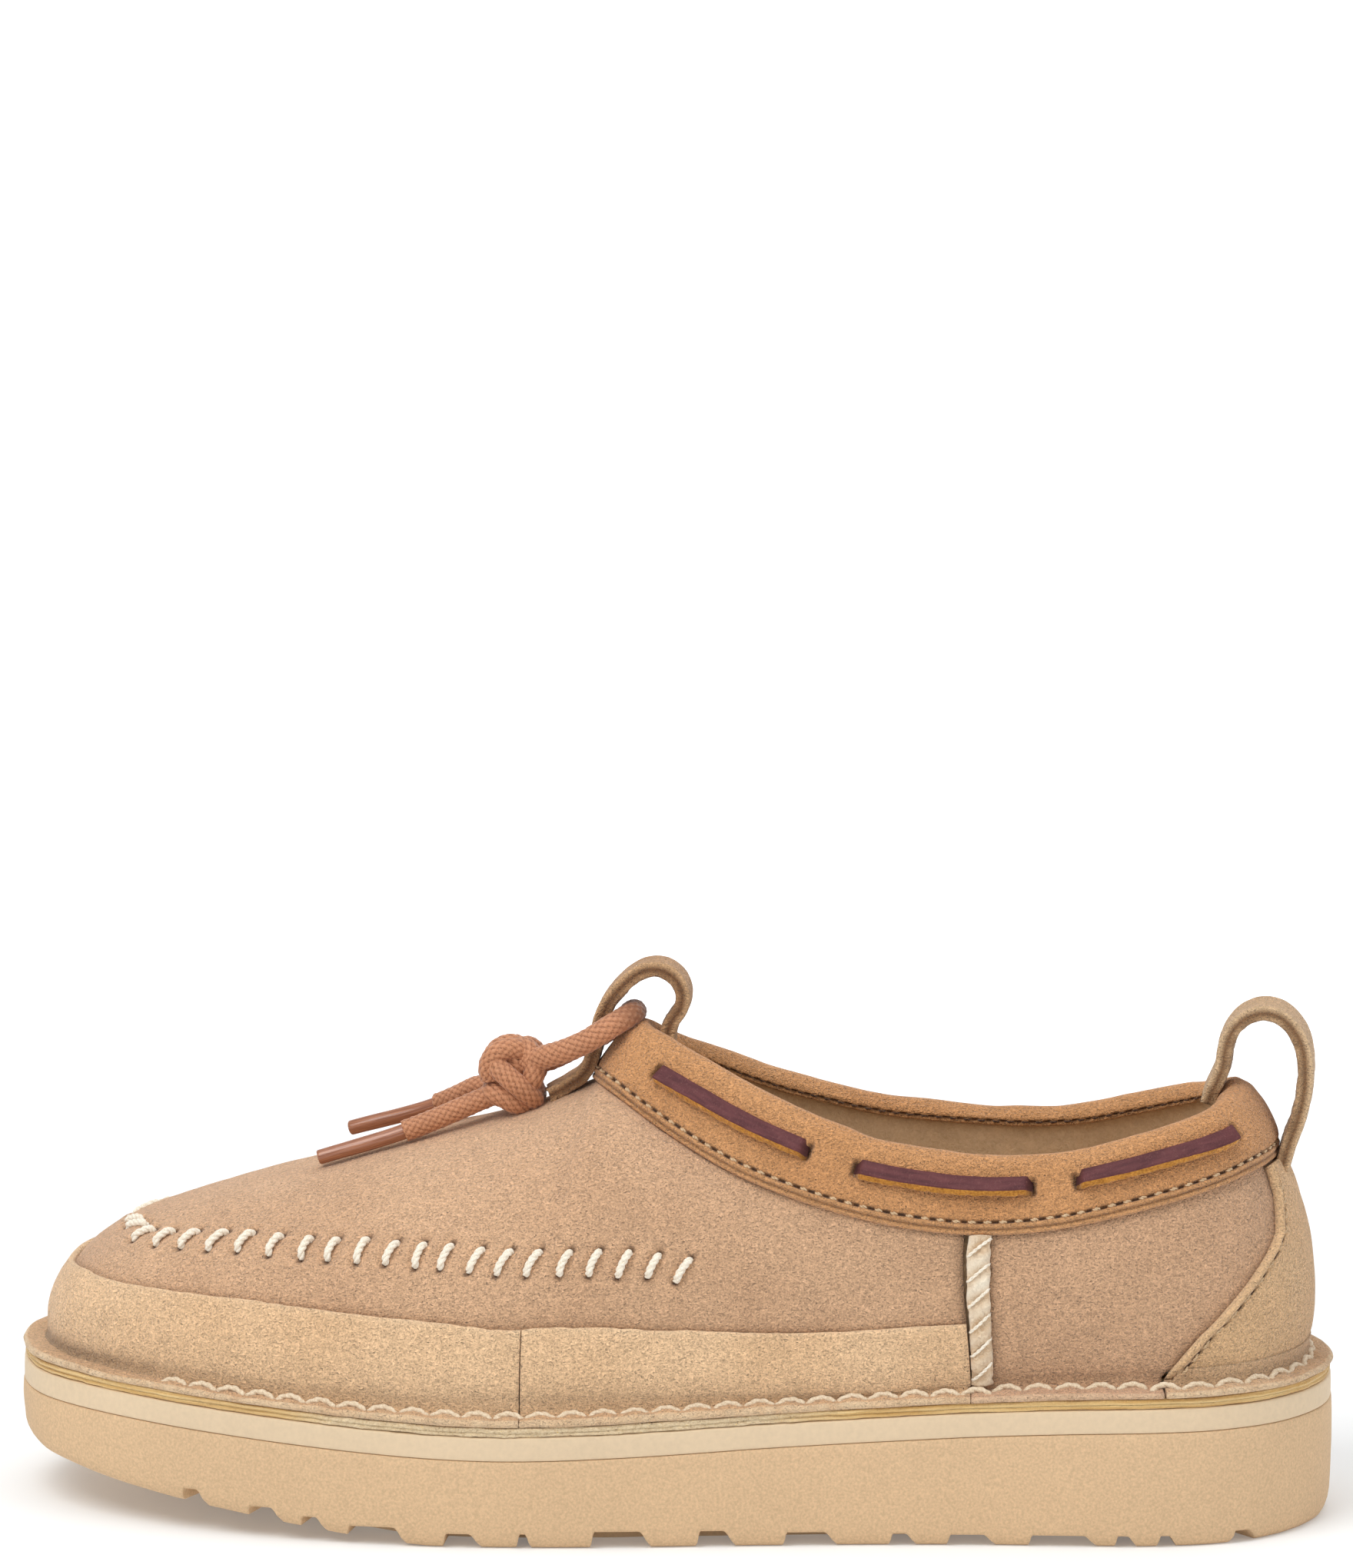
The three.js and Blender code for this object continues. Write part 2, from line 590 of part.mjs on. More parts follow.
// a sheet that starts as a turned-out flange and then climbs the wall
function flangedSheet(stations, heightsAt, outerDepth, innerDepth) {
  const outer = [];
  const inner = [];
  const flangeShares = [1, 0.5, 0];        // from the sole edge to the foot of the wall
  for (const s of stations) {
    const normal = outNormal(s);
    const foot = insetPoint(s);
    for (const share of flangeShares) {
      const distance = outerDepth + (flangeWidth(s) - outerDepth) * share;
      const upper = add(foot, normal, distance);
      const atFoot = share === 0;
      const lower = atFoot ? add(foot, normal, innerDepth) : upper;
      const topX = atFoot ? foot[0] : upper[0];
      outer.push([...upper, outsoleTop(topX) + FLANGE_TOP - 0.3 * share]);
      inner.push([...lower, outsoleTop(lower[0]) + FLANGE_BOTTOM]);
    }
    for (const t of heightsAt(s)) {
      outer.push(offSkin(s, t, outerDepth));
      inner.push(offSkin(s, t, innerDepth));
    }
  }
  const rows = flangeShares.length + heightsAt(stations[0]).length;
  return thicken(outer, outer, inner, gridTris(stations.length, rows));
}

// lateral stations from a to b, or their mirror image on the medial side
const sideStations = (side, a, b, n) =>
  side === "lateral" ? spread(a, b, n) : spread(1 - b, 1 - a, n);

// front of the upper: the wall round the toe, and the band on either side of the throat
function vampSheet(outerDepth, innerDepth, lowest, bandHeights) {
  const side = [
    ...spread(VAMP_END, THROAT_STATION, 9),
    ...spread(THROAT_STATION, 0, 19).slice(1),
  ];
  const band = name => ({
    stations: sideStations(name, THROAT_STATION, VAMP_END, 9),
    heights: bandHeights,
  });
  return sheet([
    {
      stations: [...side.map(s => -s), ...side.slice(0, -1).reverse()],
      heights: [lowest, 0.1, 0.21, 0.32, 0.43, 0.54, 0.65, 0.76, 0.88, 1],
    },
    band("lateral"),
    band("medial"),
  ], outerDepth, innerDepth);
}

function rand(stations) {
  const heightsAt = s => spread(0.05, hermite(RAND_TOP, toToe(wrap(s)))[0], 4);
  return flangedSheet(stations, heightsAt, OVERLAY[1], OVERLAY[0]);
}

function quarter(side) {
  const heights = [0.06, 0.2, 0.35, 0.5, 0.65, 0.8, 0.92, 1.02, 1.28];
  const overlap = 0.0008;
  const front = sideStations(side, QUARTER_START, QUARTER_TURN_END, 7);
  const behind = sideStations(side, QUARTER_TURN_END - overlap, 0.4992, 9);
  return join(
    flangedSheet(front, () => heights, 0, -SUEDE),
    sheet([{ stations: behind, heights: [0.03, ...heights] }], even(0), even(-SUEDE)),
  );
}

function sideSeam(side) {
  const patch = {
    stations: sideStations(side, ...SIDE_SEAM, 3),
    heights: spread(0.02, 0.975, 9),
  };
  return sheet([patch], even(0.9), even(-1.3));
}

// the shaped panel, and its turned-out edge round the heel
function heelCounterCover() {
  const [innerFace, outerFace] = COUNTER_FACES;
  const columns = spread(0, 1, 15);
  const heights = spread(0.05, 0.985, 11);
  const outer = [];
  const inner = [];
  for (const share of columns) {
    for (const t of heights) {
      const edge = linear(COUNTER_EDGE, t);
      const s = edge + (1 - 2 * edge) * share;
      outer.push(offSkin(s, t, outerFace));
      inner.push(offSkin(s, t, innerFace));
    }
  }
  const panel = thicken(outer, outer, inner, gridTris(columns.length, heights.length));
  const turned = spread(0.4152, 1 - 0.4152, 19);
  return join(panel, flangedSheet(turned, () => [0.03, 0.06], outerFace, innerFace));
}

// ---------- inside ----------
const toePuff = () => sheet(
  [{ stations: spread(-0.1, 0.1, 15), heights: spread(0.04, 0.6, 6) }], even(-2.0), even(-3.0));
const heelStiffener = () => sheet(
  [{ stations: spread(0.4, 0.6, 17), heights: spread(0.04, 0.86, 7) }], even(-2.0), even(-3.2));

// the lining lies deeper where it passes inside the toe puff and the heel stiffener
function liningOuter(s, t) {
  const half = toToe(wrap(s));
  const toe = (1 - smooth(half, 0.10, 0.14)) * (1 - smooth(t, 0.62, 0.75));
  const heel = smooth(half, 0.37, 0.395) * (1 - smooth(t, 0.88, 1.0));
  return -(2.1 + 1.6 * Math.max(toe, heel));
}
const liningInner = (s, t) => liningOuter(s, t) - LINING;
const liningQuarter = () => sheet([{
  stations: spread(LINING_QUARTER_START, 1 - LINING_QUARTER_START, 29),
  heights: [0.03, 0.15, 0.3, 0.45, 0.6, 0.75, 0.88, 1.02, 1.3, 1.68],
}], liningOuter, liningInner);

// ---------- collar and thong ----------
const COLLAR_STATIONS = 60;
// outward from the line seam to top line; height as a share of the band plus an amount
const COLLAR_SECTION = [
  [0.35, 0, 0], [1.6, 0, 0], [1.9, 0.5, 0], [1.4, 1, -0.3], [-1.6, 1, 1.5], [-4.9, 1, 0.1],
  [-6.5, 1, -5.5], [-5.5, 1, -5.5], [-4.0, 1, -0.9], [-1.6, 1, 0.2], [0.1, 1, -1.2],
  [0.45, 0.5, 0],
];
// visible runs of the thong, in collar stations
const LATERAL_RUNS = [[0.073, 0.178], [0.204, 0.291], [0.312, 0.422]];
const THONG_RUNS = [...LATERAL_RUNS, ...LATERAL_RUNS.map(([a, b]) => [1 - b, 1 - a]).reverse()];
const THONG_PASS = 0.009;        // collar stations taken to pass through the band
const THONG_OUTSIDE = 2.75;      // offset of the thong's middle on the runs
const THONG_BEHIND = -0.85;      // and between them
const THONG_HEIGHT = 0.57;       // share of the band height
const SLOT_CLEARANCE = { width: 0.8, thickness: 0.9 };

// the band at a collar station: seam point, up axis, outward axis and height
function collarFrame(c) {
  const seam = collarSeam(c);
  const rise = sub(topLine(c), seam);
  const up = unit(rise);
  const middle = at => scale(add(collarSeam(at), topLine(at)), 0.5);
  const out = unit(cross(sub(middle(c + 2e-3), middle(c - 2e-3)), up));
  return { seam, up, out, height: length(rise) };
}

function thongOffset(c) {
  c = wrap(c);
  const travel = THONG_OUTSIDE - THONG_BEHIND;
  for (const [a, b] of THONG_RUNS) {
    if (c >= a && c <= b) return THONG_OUTSIDE;
    if (c > a - THONG_PASS && c < a) return THONG_BEHIND + travel * smooth(c, a - THONG_PASS, a);
    if (c > b && c < b + THONG_PASS) return THONG_OUTSIDE - travel * smooth(c, b, b + THONG_PASS);
  }
  return THONG_BEHIND;
}
function thongRing(c, width = THONG_WIDTH, thickness = THONG_THICKNESS) {
  const { seam, up, out, height } = collarFrame(c);
  const middle = thongOffset(c);
  return [[-1, -1], [1, -1], [1, 1], [-1, 1]].map(([a, b]) =>
    inFrame(seam, out, middle + a * thickness / 2, up, THONG_HEIGHT * height + b * width / 2));
}

function collarBand() {
  const rings = Array.from({ length: COLLAR_STATIONS }, (_, i) => {
    const { seam, up, out, height } = collarFrame(i / COLLAR_STATIONS);
    return COLLAR_SECTION.map(([outward, share, extra]) =>
      inFrame(seam, out, outward, up, share * height + extra));
  });
  let solid = toManifold(sweepRings(rings, true));
  // slots where the thong passes through
  const long = THONG_PASS * 1.15;
  const short = THONG_PASS * 0.15;
  for (const [a, b] of THONG_RUNS) {
    for (const [from, to] of [[a - long, a + short], [b - short, b + long]]) {
      const slot = spread(from, to, 7).map(c => thongRing(
        c, THONG_WIDTH + SLOT_CLEARANCE.width, THONG_THICKNESS + SLOT_CLEARANCE.thickness));
      solid = solid.subtract(toManifold(sweepRings(slot)));
    }
  }
  return fromManifold(solid);
}

// even stations, with extra ones where the thong passes through
function thong() {
  const marks = new Set(spread(0, 1, 61).slice(0, -1));
  for (const [a, b] of THONG_RUNS) {
    for (const shift of [-THONG_PASS, -THONG_PASS * 0.66, -THONG_PASS * 0.33, 0]) {
      marks.add(a + shift);
      marks.add(b - shift);
    }
  }
  const stations = [...marks].sort((a, b) => a - b)
    .filter((c, i, all) => i === 0 || c - all[i - 1] > 0.0015);
  return sweepRings(stations.map(c => thongRing(c)), true);
}

// ---------- threads ----------
function flangeThread() {
  const n = 110;
  const path = Array.from({ length: n }, (_, i) => {
    const [x, y] = add(insetPoint(i / n), outNormal(i / n), 3.0);
    return [x, y, outsoleTop(x) + FLANGE_TOP + 1.1];
  });
  return tube(path, 0.75, 4, true);
}
// zigzag from the lateral side round the toe to the medial side
function vampThread() {
  const lateral = STITCH_LOW.flatMap((low, i) => [low, STITCH_HIGH[i]]).reverse();
  const medial = lateral.map(([s, t]) => [1 - s, t]).reverse();
  return tube([...lateral, ...medial].map(([s, t]) => offSkin(s, t, 1.15)), 0.65, 4);
}

// ---------- loops and cord ----------
// strap paths: x, z
const FRONT_LOOP = [
  [-22, 89.3], [-20.6, 90.9], [-18.9, 93.2], [-17.5, 96.2], [-16.6, 99.8], [-15.6, 103.4],
  [-13.9, 106.9], [-11.5, 109.8], [-8.6, 112.2], [-5.6, 113.7], [-2.4, 113.6], [0.2, 111.9],
  [1.6, 109], [1.5, 105.9], [0.9, 103], [0.5, 100.2], [0.4, 97.2],
];
const HEEL_LOOP = [
  [130.9, 79.6], [131.9, 83.8], [132.8, 88.5], [133.1, 93.6], [132.9, 98], [132.1, 101.3],
  [130.4, 104], [128.1, 105.6], [125.3, 106.1], [122.5, 105.4], [119.9, 103.7],
  [117.9, 101.4], [116.6, 98.6], [115.4, 95.6], [113.6, 92], [112.2, 88],
];
// lateral half of the cord's bight, from the knot back: x, y, z
const BIGHT_HALF = [
  [-30.8, -2.4, 94.8], [-26.8, -4.8, 96.4], [-22.8, -6.8, 97.9], [-18.2, -7.6, 100.2],
  [-12.6, -7.1, 103.6], [-9.6, -4.6, 105.3],
];
const BIGHT_END = [-8.6, 0, 105.9];
const KNOT = [-34.4, -0.6, 92.7];
// each tail: knot end, aglet end, and a point the aglet aims at
const TAILS = {
  near: [[-43.0, -2.9, 86.3], [-56.0, -4.2, 79.5], [-75.2, -5.6, 73.3]],
  far: [[-42.8, 3.5, 88.2], [-50.2, 7.4, 82.9], [-70.2, 10.4, 76.3]],
};

function frontLoopTab() {
  const heightAt = x => ridge(x) + GAP + STRAP_THICKNESS / 2 + 0.35;
  const path = [[-30.5, heightAt(-30.5)], [-27, heightAt(-27)], [-23.8, heightAt(-23.8) + 0.05]];
  return strap(path, 5, FRONT_STRAP_WIDTH);
}

// trefoil knot round a short core, with the bight behind it
function toggleCord() {
  const medialHalf = BIGHT_HALF.map(([x, y, z]) => [x, -y, z]).reverse();
  const bight = smoothPath([...BIGHT_HALF, BIGHT_END, ...medialHalf], 26);
  const size = 1.75;
  const trefoil = Array.from({ length: 36 }, (_, i) => {
    const a = 2 * Math.PI * i / 36;
    const across = size * (Math.sin(a) + 2 * Math.sin(2 * a));
    const up = size * (Math.cos(a) - 2 * Math.cos(2 * a));
    const along = -size * 1.45 * Math.sin(3 * a);
    // the knot's flat side faces along the cord
    return add(KNOT, [0.92 * along + 0.12 * up, across, 1.05 * up]);
  });
  const core = [[KNOT[0] - 3.4, 0, KNOT[2] - 1], [KNOT[0] + 3.6, 0, KNOT[2] + 1.4]];
  return join(tube(bight, CORD_R, 8), tube(trefoil, 2.3, 6, true), tube(core, 4.6, 9));
}

// the cord narrows into a core inside the aglet
function cordTail([start, end, aim]) {
  const axis = unit(sub(aim, end));
  const cord = smoothPath([start, scale(add(start, end), 0.5), end], 7);
  const path = [...cord, add(end, axis, 1.2), add(end, axis, 7)];
  const lastCord = cord.length - 1;
  const radiusAt = i => {
    if (i === 0) return 1.9;
    return i < lastCord ? CORD_R : 1.05;
  };
  return tube(path, radiusAt, 8);
}

// thin tube with a blind bore, closed and chamfered at the tip
function aglet([, end, aim]) {
  const sides = 10;
  const boreR = 1.35;
  const boreDepth = 6.6;
  const axis = unit(sub(aim, end));
  const mouth = add(end, axis, 1.0);
  const u = unit(cross(axis, [0, 0, 1]));
  const v = cross(axis, u);
  // distance along the axis, radius: bore mouth, rim, side, tip chamfer, bore floor
  const profile = [
    [0, boreR], [0, AGLET_R], [AGLET_LENGTH - 0.5, AGLET_R], [AGLET_LENGTH, AGLET_R - 0.4],
    [boreDepth, boreR],
  ];
  const points = profile.flatMap(([along, r]) => Array.from({ length: sides }, (_, i) => {
    const angle = 2 * Math.PI * i / sides;
    return inFrame(add(mouth, axis, along), u, r * Math.cos(angle), v, r * Math.sin(angle));
  }));
  const tip = points.length;
  const floor = tip + 1;
  points.push(add(mouth, axis, AGLET_LENGTH), add(mouth, axis, boreDepth));
  const tris = [[0, 1], [1, 2], [2, 3], [4, 0]]
    .flatMap(([a, b]) => ringBand(a * sides, b * sides, sides));
  for (let i = 0; i < sides; i++) {
    const j = (i + 1) % sides;
    tris.push([3 * sides + i, 3 * sides + j, tip], [4 * sides + j, 4 * sides + i, floor]);
  }
  return faceOut({ points, tris });
}

// ---------- assembly ----------
const FINISH = {
  outsole: { color: 0xd6b78c },
  foam: { color: 0xddc8a6 },
  sheepskin: { color: 0xdebe82 },
  board: { color: 0xb9a27a },
  footbed: { color: 0xd9cbb0 },
  suede: { color: 0xd5ad8a },
  overlay: { color: 0xdeba8e },
  thread: { color: 0xf0e8d7 },
  stiffener: { color: 0xcfc6b4 },
  lining: { color: 0xb99c74 },
  collar: { color: 0xc6915c },
  thong: { color: 0x5e383e, roughness: 0.6 },
  cord: { color: 0xb47a56 },
  aglet: { color: 0x96684a, roughness: 0.4 },
};
const group = new THREE.Group();
group.name = "moccasin";

function addPiece(name, { points, tris }, finish) {
  const geometry = new THREE.BufferGeometry();
  geometry.setAttribute("position", new THREE.Float32BufferAttribute(points.flat(), 3));
  geometry.setIndex(tris.flat());
  geometry.computeVertexNormals();
  const material = new THREE.MeshStandardMaterial({ roughness: 0.9, ...finish });
  const mesh = new THREE.Mesh(geometry, material);
  mesh.name = name;
  group.add(mesh);
}

addPiece("outsole", outsole(), FINISH.outsole);
addPiece("midsole_strip", plate(0.3, FOAM_STRIP), FINISH.foam);
addPiece("welt_layer", plate(0.6, WELT), FINISH.sheepskin);
addPiece("insole_board", plate(9.2, INSOLE_BOARD), FINISH.board);
addPiece("footbed", plate(14.6, FOOTBED), FINISH.footbed);

const SIDES = ["lateral", "medial"];
addPiece("vamp", vampSheet(even(0), even(-SUEDE), 0, [1, 1.14, 1.28]), FINISH.suede);
addPiece("toe_rand", rand(spread(-0.2085, 0.2085, 33)), FINISH.overlay);
for (const side of SIDES) {
  addPiece(`rand_${side}`, rand(sideStations(side, 0.2095, VAMP_END, 11)), FINISH.overlay);
}
for (const side of SIDES) addPiece(`quarter_${side}`, quarter(side), FINISH.suede);
for (const side of SIDES) addPiece(`side_seam_${side}`, sideSeam(side), FINISH.thread);
addPiece("heel_counter_cover", heelCounterCover(), FINISH.overlay);

addPiece("toe_puff", toePuff(), FINISH.stiffener);
addPiece("heel_stiffener", heelStiffener(), FINISH.stiffener);
const liningVamp = vampSheet(liningOuter, liningInner, 0.03, [1, 1.14, 1.28, 1.68]);
addPiece("lining_vamp", liningVamp, FINISH.lining);
addPiece("lining_quarter", liningQuarter(), FINISH.lining);

addPiece("collar_band", collarBand(), FINISH.collar);
addPiece("thong", thong(), FINISH.thong);
addPiece("flange_thread", flangeThread(), FINISH.thread);
addPiece("vamp_thread", vampThread(), FINISH.thread);

addPiece("front_loop_tab", frontLoopTab(), FINISH.collar);
addPiece("front_pull_loop", strap(FRONT_LOOP, 28, FRONT_STRAP_WIDTH), FINISH.collar);
addPiece("heel_pull_loop", strap(HEEL_LOOP, 28, HEEL_STRAP_WIDTH), FINISH.overlay);
addPiece("toggle_cord", toggleCord(), FINISH.cord);
for (const [name, tail] of Object.entries(TAILS)) {
  addPiece(`cord_tail_${name}`, cordTail(tail), FINISH.cord);
  addPiece(`aglet_${name}`, aglet(tail), FINISH.aglet);
}

export default group;
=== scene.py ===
"""Left slip-on suede moccasin: the looks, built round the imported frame.
+X is the heel, -Y the outer side, +Z up. Lengths are millimetres until mesh() makes them metres.
A place on the upper is (loop, rise). loop runs 0..1 round the sole from the toe tip, along the
outer side to the heel at 0.5 and back along the inner side. rise is 0 at the sole, 1 at the
collar seam and 2 at the collar's top. The collar has its own 0..1 turn, 0 in front, 0.5 behind."""

import bmesh
import bpy
import mathutils
import numpy as np
from numpy import (arange, array, broadcast_to, c_, clip, concatenate, cos, exp, interp, linspace,
                   maximum, minimum, mod, ones, pi, r_, radians, repeat, sin, stack, tile,
                   vstack, where, zeros)
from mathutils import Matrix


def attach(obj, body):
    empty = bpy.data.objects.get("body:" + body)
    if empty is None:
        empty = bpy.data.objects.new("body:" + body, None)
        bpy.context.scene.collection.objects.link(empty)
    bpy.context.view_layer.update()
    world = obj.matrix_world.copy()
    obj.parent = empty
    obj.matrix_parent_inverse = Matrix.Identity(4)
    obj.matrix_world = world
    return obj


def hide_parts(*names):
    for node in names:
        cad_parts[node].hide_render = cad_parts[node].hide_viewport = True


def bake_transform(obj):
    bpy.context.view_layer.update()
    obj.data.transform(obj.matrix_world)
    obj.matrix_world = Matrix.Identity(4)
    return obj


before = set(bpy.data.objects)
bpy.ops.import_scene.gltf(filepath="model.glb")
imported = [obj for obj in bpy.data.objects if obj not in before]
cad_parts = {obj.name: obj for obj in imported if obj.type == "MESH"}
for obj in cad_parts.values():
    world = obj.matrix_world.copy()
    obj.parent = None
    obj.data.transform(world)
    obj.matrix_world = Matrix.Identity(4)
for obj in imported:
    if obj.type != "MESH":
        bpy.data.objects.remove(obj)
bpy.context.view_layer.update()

STEP = 1.0        # coarsening of every mesh step
TAU = 2*pi

# ---------- measured tables ----------
# sole outline: x, y of the outer side, y of the inner side
OUTLINE = array([
    (-139.6,5,5), (-138.2,-6.5,17), (-133,-19,27.5), (-123,-29.6,37), (-108,-38.9,45.3),
    (-90,-46.1,50.5), (-70,-50.7,52.6), (-50,-52.8,51.2), (-30,-52.8,47.2), (-10,-51,42.4),
    (10,-48.1,38.9), (30,-45.3,37.2), (50,-43.0,37.6), (70,-41.5,39.2), (88,-40.9,40.5),
    (104,-39.9,40), (117,-36.5,36.8), (127.5,-29.4,29.7), (135,-19.2,19.4), (138.8,-8.5,8.6),
    (139.6,0,0)])
# x, z of the outsole's top edge
SOLE_TOP = array([
    (-139.6,23.4), (-120,23.0), (-100,22.0), (-80,20.8), (-60,19.5), (-45,18.7), (-35,18.45),
    (-22,18.6), (0,19.5), (20,20.7), (45,22.0), (66,23.1), (90,24.0), (115,24.4), (139.6,24.4)])
# x, z of the outsole's underside
SOLE_BOTTOM = array([
    (-139.6,12.6), (-134,11.3), (-128,10.5), (-122,9.5), (-115,8.4), (-106,7.1), (-94,5.6),
    (-83,4.2), (-73,2.9), (-64,1.7), (-55,.6), (-47,0.0), (-40,0), (139.6,0)])
# x, z of the vamp's ridge on the centre plane
RIDGE = array([(-100,63.8), (-86,68.2), (-70,72.8), (-50,78.3), (-30,83.9), (-16.2,89.9)])
# outer half of the collar seam and of the collar's top: turn (0.76 is the back), x, y, z
TURN_BACK = .76
SEAM_HALF = array([
    (0,-16.2,0,89.9), (.04,-14.8,-6.3,90.2), (.08,-10.6,-12.3,88.6), (.12,-4.5,-17.3,85.3),
    (.165,4,-22.6,80.9), (.21,14,-27.3,76.2), (.26,26,-31,72.0), (.31,39,-33.3,68.5),
    (.36,53,-34.3,66.0), (.41,68,-34.6,65.1), (.46,83,-34.2,66.4), (.51,97,-32.4,69.3),
    (.56,108,-29.2,72.0), (.61,116.6,-24,74.2), (.66,122.4,-17.4,75.9), (.71,125.8,-9,76.4),
    (.76,127,0,76.5)])
TOP_HALF = array([
    (0,-7.6,0,102.3), (.04,-6.4,-5,102.0), (.08,-2.6,-9,100.8), (.12,2.4,-12.6,98.8),
    (.165,10,-16.6,95.8), (.21,19,-20.6,91.8), (.26,30,-24.4,87.5), (.31,42,-27.2,83.5),
    (.36,55,-28.7,81.2), (.41,69,-29,80.0), (.46,83,-28.2,80.5), (.51,96,-26,83.3),
    (.56,107,-22.4,86.6), (.61,114.2,-17.4,89.2), (.66,117.6,-11.6,90.5), (.71,119.0,-5.8,91.1),
    (.76,119.5,0,91.3)])
TOP_DIPS = ((.56,.4), (.61,1.1), (.66,.8), (.71,.3))     # turn, drop of the top on both sides
# x on the sole, matching turn of the collar
SOLE_TO_TURN = (
    (-12,.06), (0,.125), (12,.175), (26,.235), (40,.29), (53,.345), (68,.405), (83,.46),
    (97,.515), (108,.56), (119,.61), (128,.66), (135.5,.712))
# share of the loop before the collar begins, x where the wall meets the ridge
WALL_TO_RIDGE = array([(0,-86), (.30,-86), (.36,-85.2), (.42,-82.5), (.5,-76), (.6,-64.5),
                       (.7,-52.5), (.8,-40), (.9,-28), (1,-16.2)])
# loop, rise of the rand's top edge
RAND_TOP = array([
    (0,.29), (.019,.30), (.0355,.312), (.051,.302), (.072,.297), (.1005,.285), (.119,.268),
    (.133,.250), (.1475,.235), (.159,.223), (.174,.210), (.194,.188), (.209,.175), (.222,.170),
    (.244,.180), (.273,.223), (.2905,.263), (.309,.315), (.3235,.365), (.337,.410), (.3535,.440)])
# rise, loop of the heel counter's front edge
COUNTER = array([
    (0,.4135), (.085,.4165), (.175,.421), (.26,.426), (.325,.4315), (.393,.4365), (.46,.442),
    (.532,.448), (.598,.454), (.672,.46), (.772,.4625), (.845,.4645), (.925,.4645), (1,.4645)])
# loop, rise of the lower and upper ends of the whip stitches on the vamp
WHIP_LOW = array([
    (.011,.535), (.0225,.53), (.045,.497), (.0625,.492), (.078,.49), (.092,.478), (.105,.465),
    (.118,.438), (.1305,.413), (.14,.4), (.1505,.385), (.1605,.372), (.171,.355), (.1795,.345),
    (.1895,.328), (.199,.312), (.209,.297), (.2205,.283), (.231,.285), (.241,.297), (.251,.323),
    (.2605,.338)])
WHIP_HIGH = array([
    (.024,.588), (.037,.583), (.0505,.568), (.0655,.573), (.0815,.573), (.0965,.562),
    (.1085,.545), (.1205,.515), (.132,.49), (.142,.473), (.1525,.463), (.1635,.438), (.173,.425),
    (.1825,.413), (.1935,.39), (.2035,.37), (.2135,.352), (.2245,.34), (.235,.352), (.2455,.378),
    (.2555,.405), (.2665,.435)])
# heights above the outsole's top
STRIP_LOW, STRIP_HIGH = .3, 5.1
WELT_LOW, WELT_HIGH = 5.4, 7.2
FLANGE_BOTTOM, FLANGE_TOP = 7.5, 9.4
SUEDE, LINING = 1.6, 2.4                    # thicknesses
OVER_IN, OVER_OUT = .35, 1.7                # faces of a piece that lies over the upper
VAMP_END, QUARTER_START, TURN_END = .3525, .3595, .4135       # loop
RAND_JOINT = .209                           # loop where the toe rand ends

# ---------- small maths ----------
def norm(v):
    return np.linalg.norm(v, axis=-1)

def unit(v):
    return v/maximum(norm(v)[..., None], 1e-12)

def smooth(x, low, high):
    t = clip((x - low)/(high - low), 0, 1)
    return t*t*(3 - 2*t)

def bell(x, width, mid=0):
    return exp(-((x - mid)/width)**2)

def fold(x):
    """Distance to the nearest whole number: the same for both sides of the shoe."""
    x = mod(x, 1)
    return minimum(x, 1 - x)

def steps(count):
    return int(count/STEP)

def curve(table, x, period=None):
    """Smooth curve at x through a table whose first column holds the knots."""
    knots, vals = table[:, 0], table[:, 1:]
    x = np.atleast_1d(x)
    if period:
        knots = concatenate([knots[-2:] - period, knots, knots[:3] + period])
        vals = vstack([vals[-2:], vals, vals[:3]])
        x = mod(x, period)
    gap = np.diff(knots)[:, None]
    slope = np.diff(vals, axis=0)/gap
    rate = np.empty_like(vals)
    rate[1:-1] = (slope[:-1]*gap[1:] + slope[1:]*gap[:-1])/(gap[1:] + gap[:-1])
    rate[0], rate[-1] = slope[0], slope[-1]
    i = clip(np.searchsorted(knots, x, side="right") - 1, 0, len(knots) - 2)
    t = (x - knots[i])[:, None]/gap[i]
    if not period:
        t = clip(t, 0, 1)
    out = ((2*t**3 - 3*t**2 + 1)*vals[i] + (t**3 - 2*t**2 + t)*gap[i]*rate[i]
           + (-2*t**3 + 3*t**2)*vals[i + 1] + (t**3 - t**2)*gap[i]*rate[i + 1])
    return out[:, 0] if out.shape[1] == 1 else out

def run(pts):
    """Running length along points."""
    return r_[0, np.cumsum(norm(np.diff(pts, axis=0)))]

def at_length(pts, length, goal):
    return stack([interp(goal, length, pts[:, k]) for k in range(3)], -1)

def even_path(pts, step=None, count=None):
    """Evenly spaced points on a smooth line through pts."""
    pts = array(pts, float)
    length = run(pts)
    fine = curve(c_[length, pts], linspace(0, length[-1], 1200))
    length = run(fine)
    if count is None:
        count = max(4, int(round(length[-1]/(step*STEP))) + 1)
    return at_length(fine, length, linspace(0, length[-1], count))

def hash01(i, j, k, seed):
    bits = (i*374761393 + j*668265263 + k*1442695041 + seed*1274126177) & 0xffffffff
    bits = ((bits ^ (bits >> 13))*1274126177) & 0xffffffff
    return ((bits ^ (bits >> 16)) & 0xffff)/65535.0

def noise(pts, size, seed):
    """Value noise from -1 to 1, with features of the given size."""
    cell = np.asarray(pts, float)/size
    base = np.floor(cell).astype(np.int64)
    part = cell - base
    part = part*part*(3 - 2*part)
    share = (1 - part, part)
    total = 0.0
    for a, b, c in np.ndindex(2, 2, 2):
        weight = share[a][..., 0]*share[b][..., 1]*share[c][..., 2]
        total = total + weight*hash01(base[..., 0] + a, base[..., 1] + b, base[..., 2] + c, seed)
    return 2*total - 1

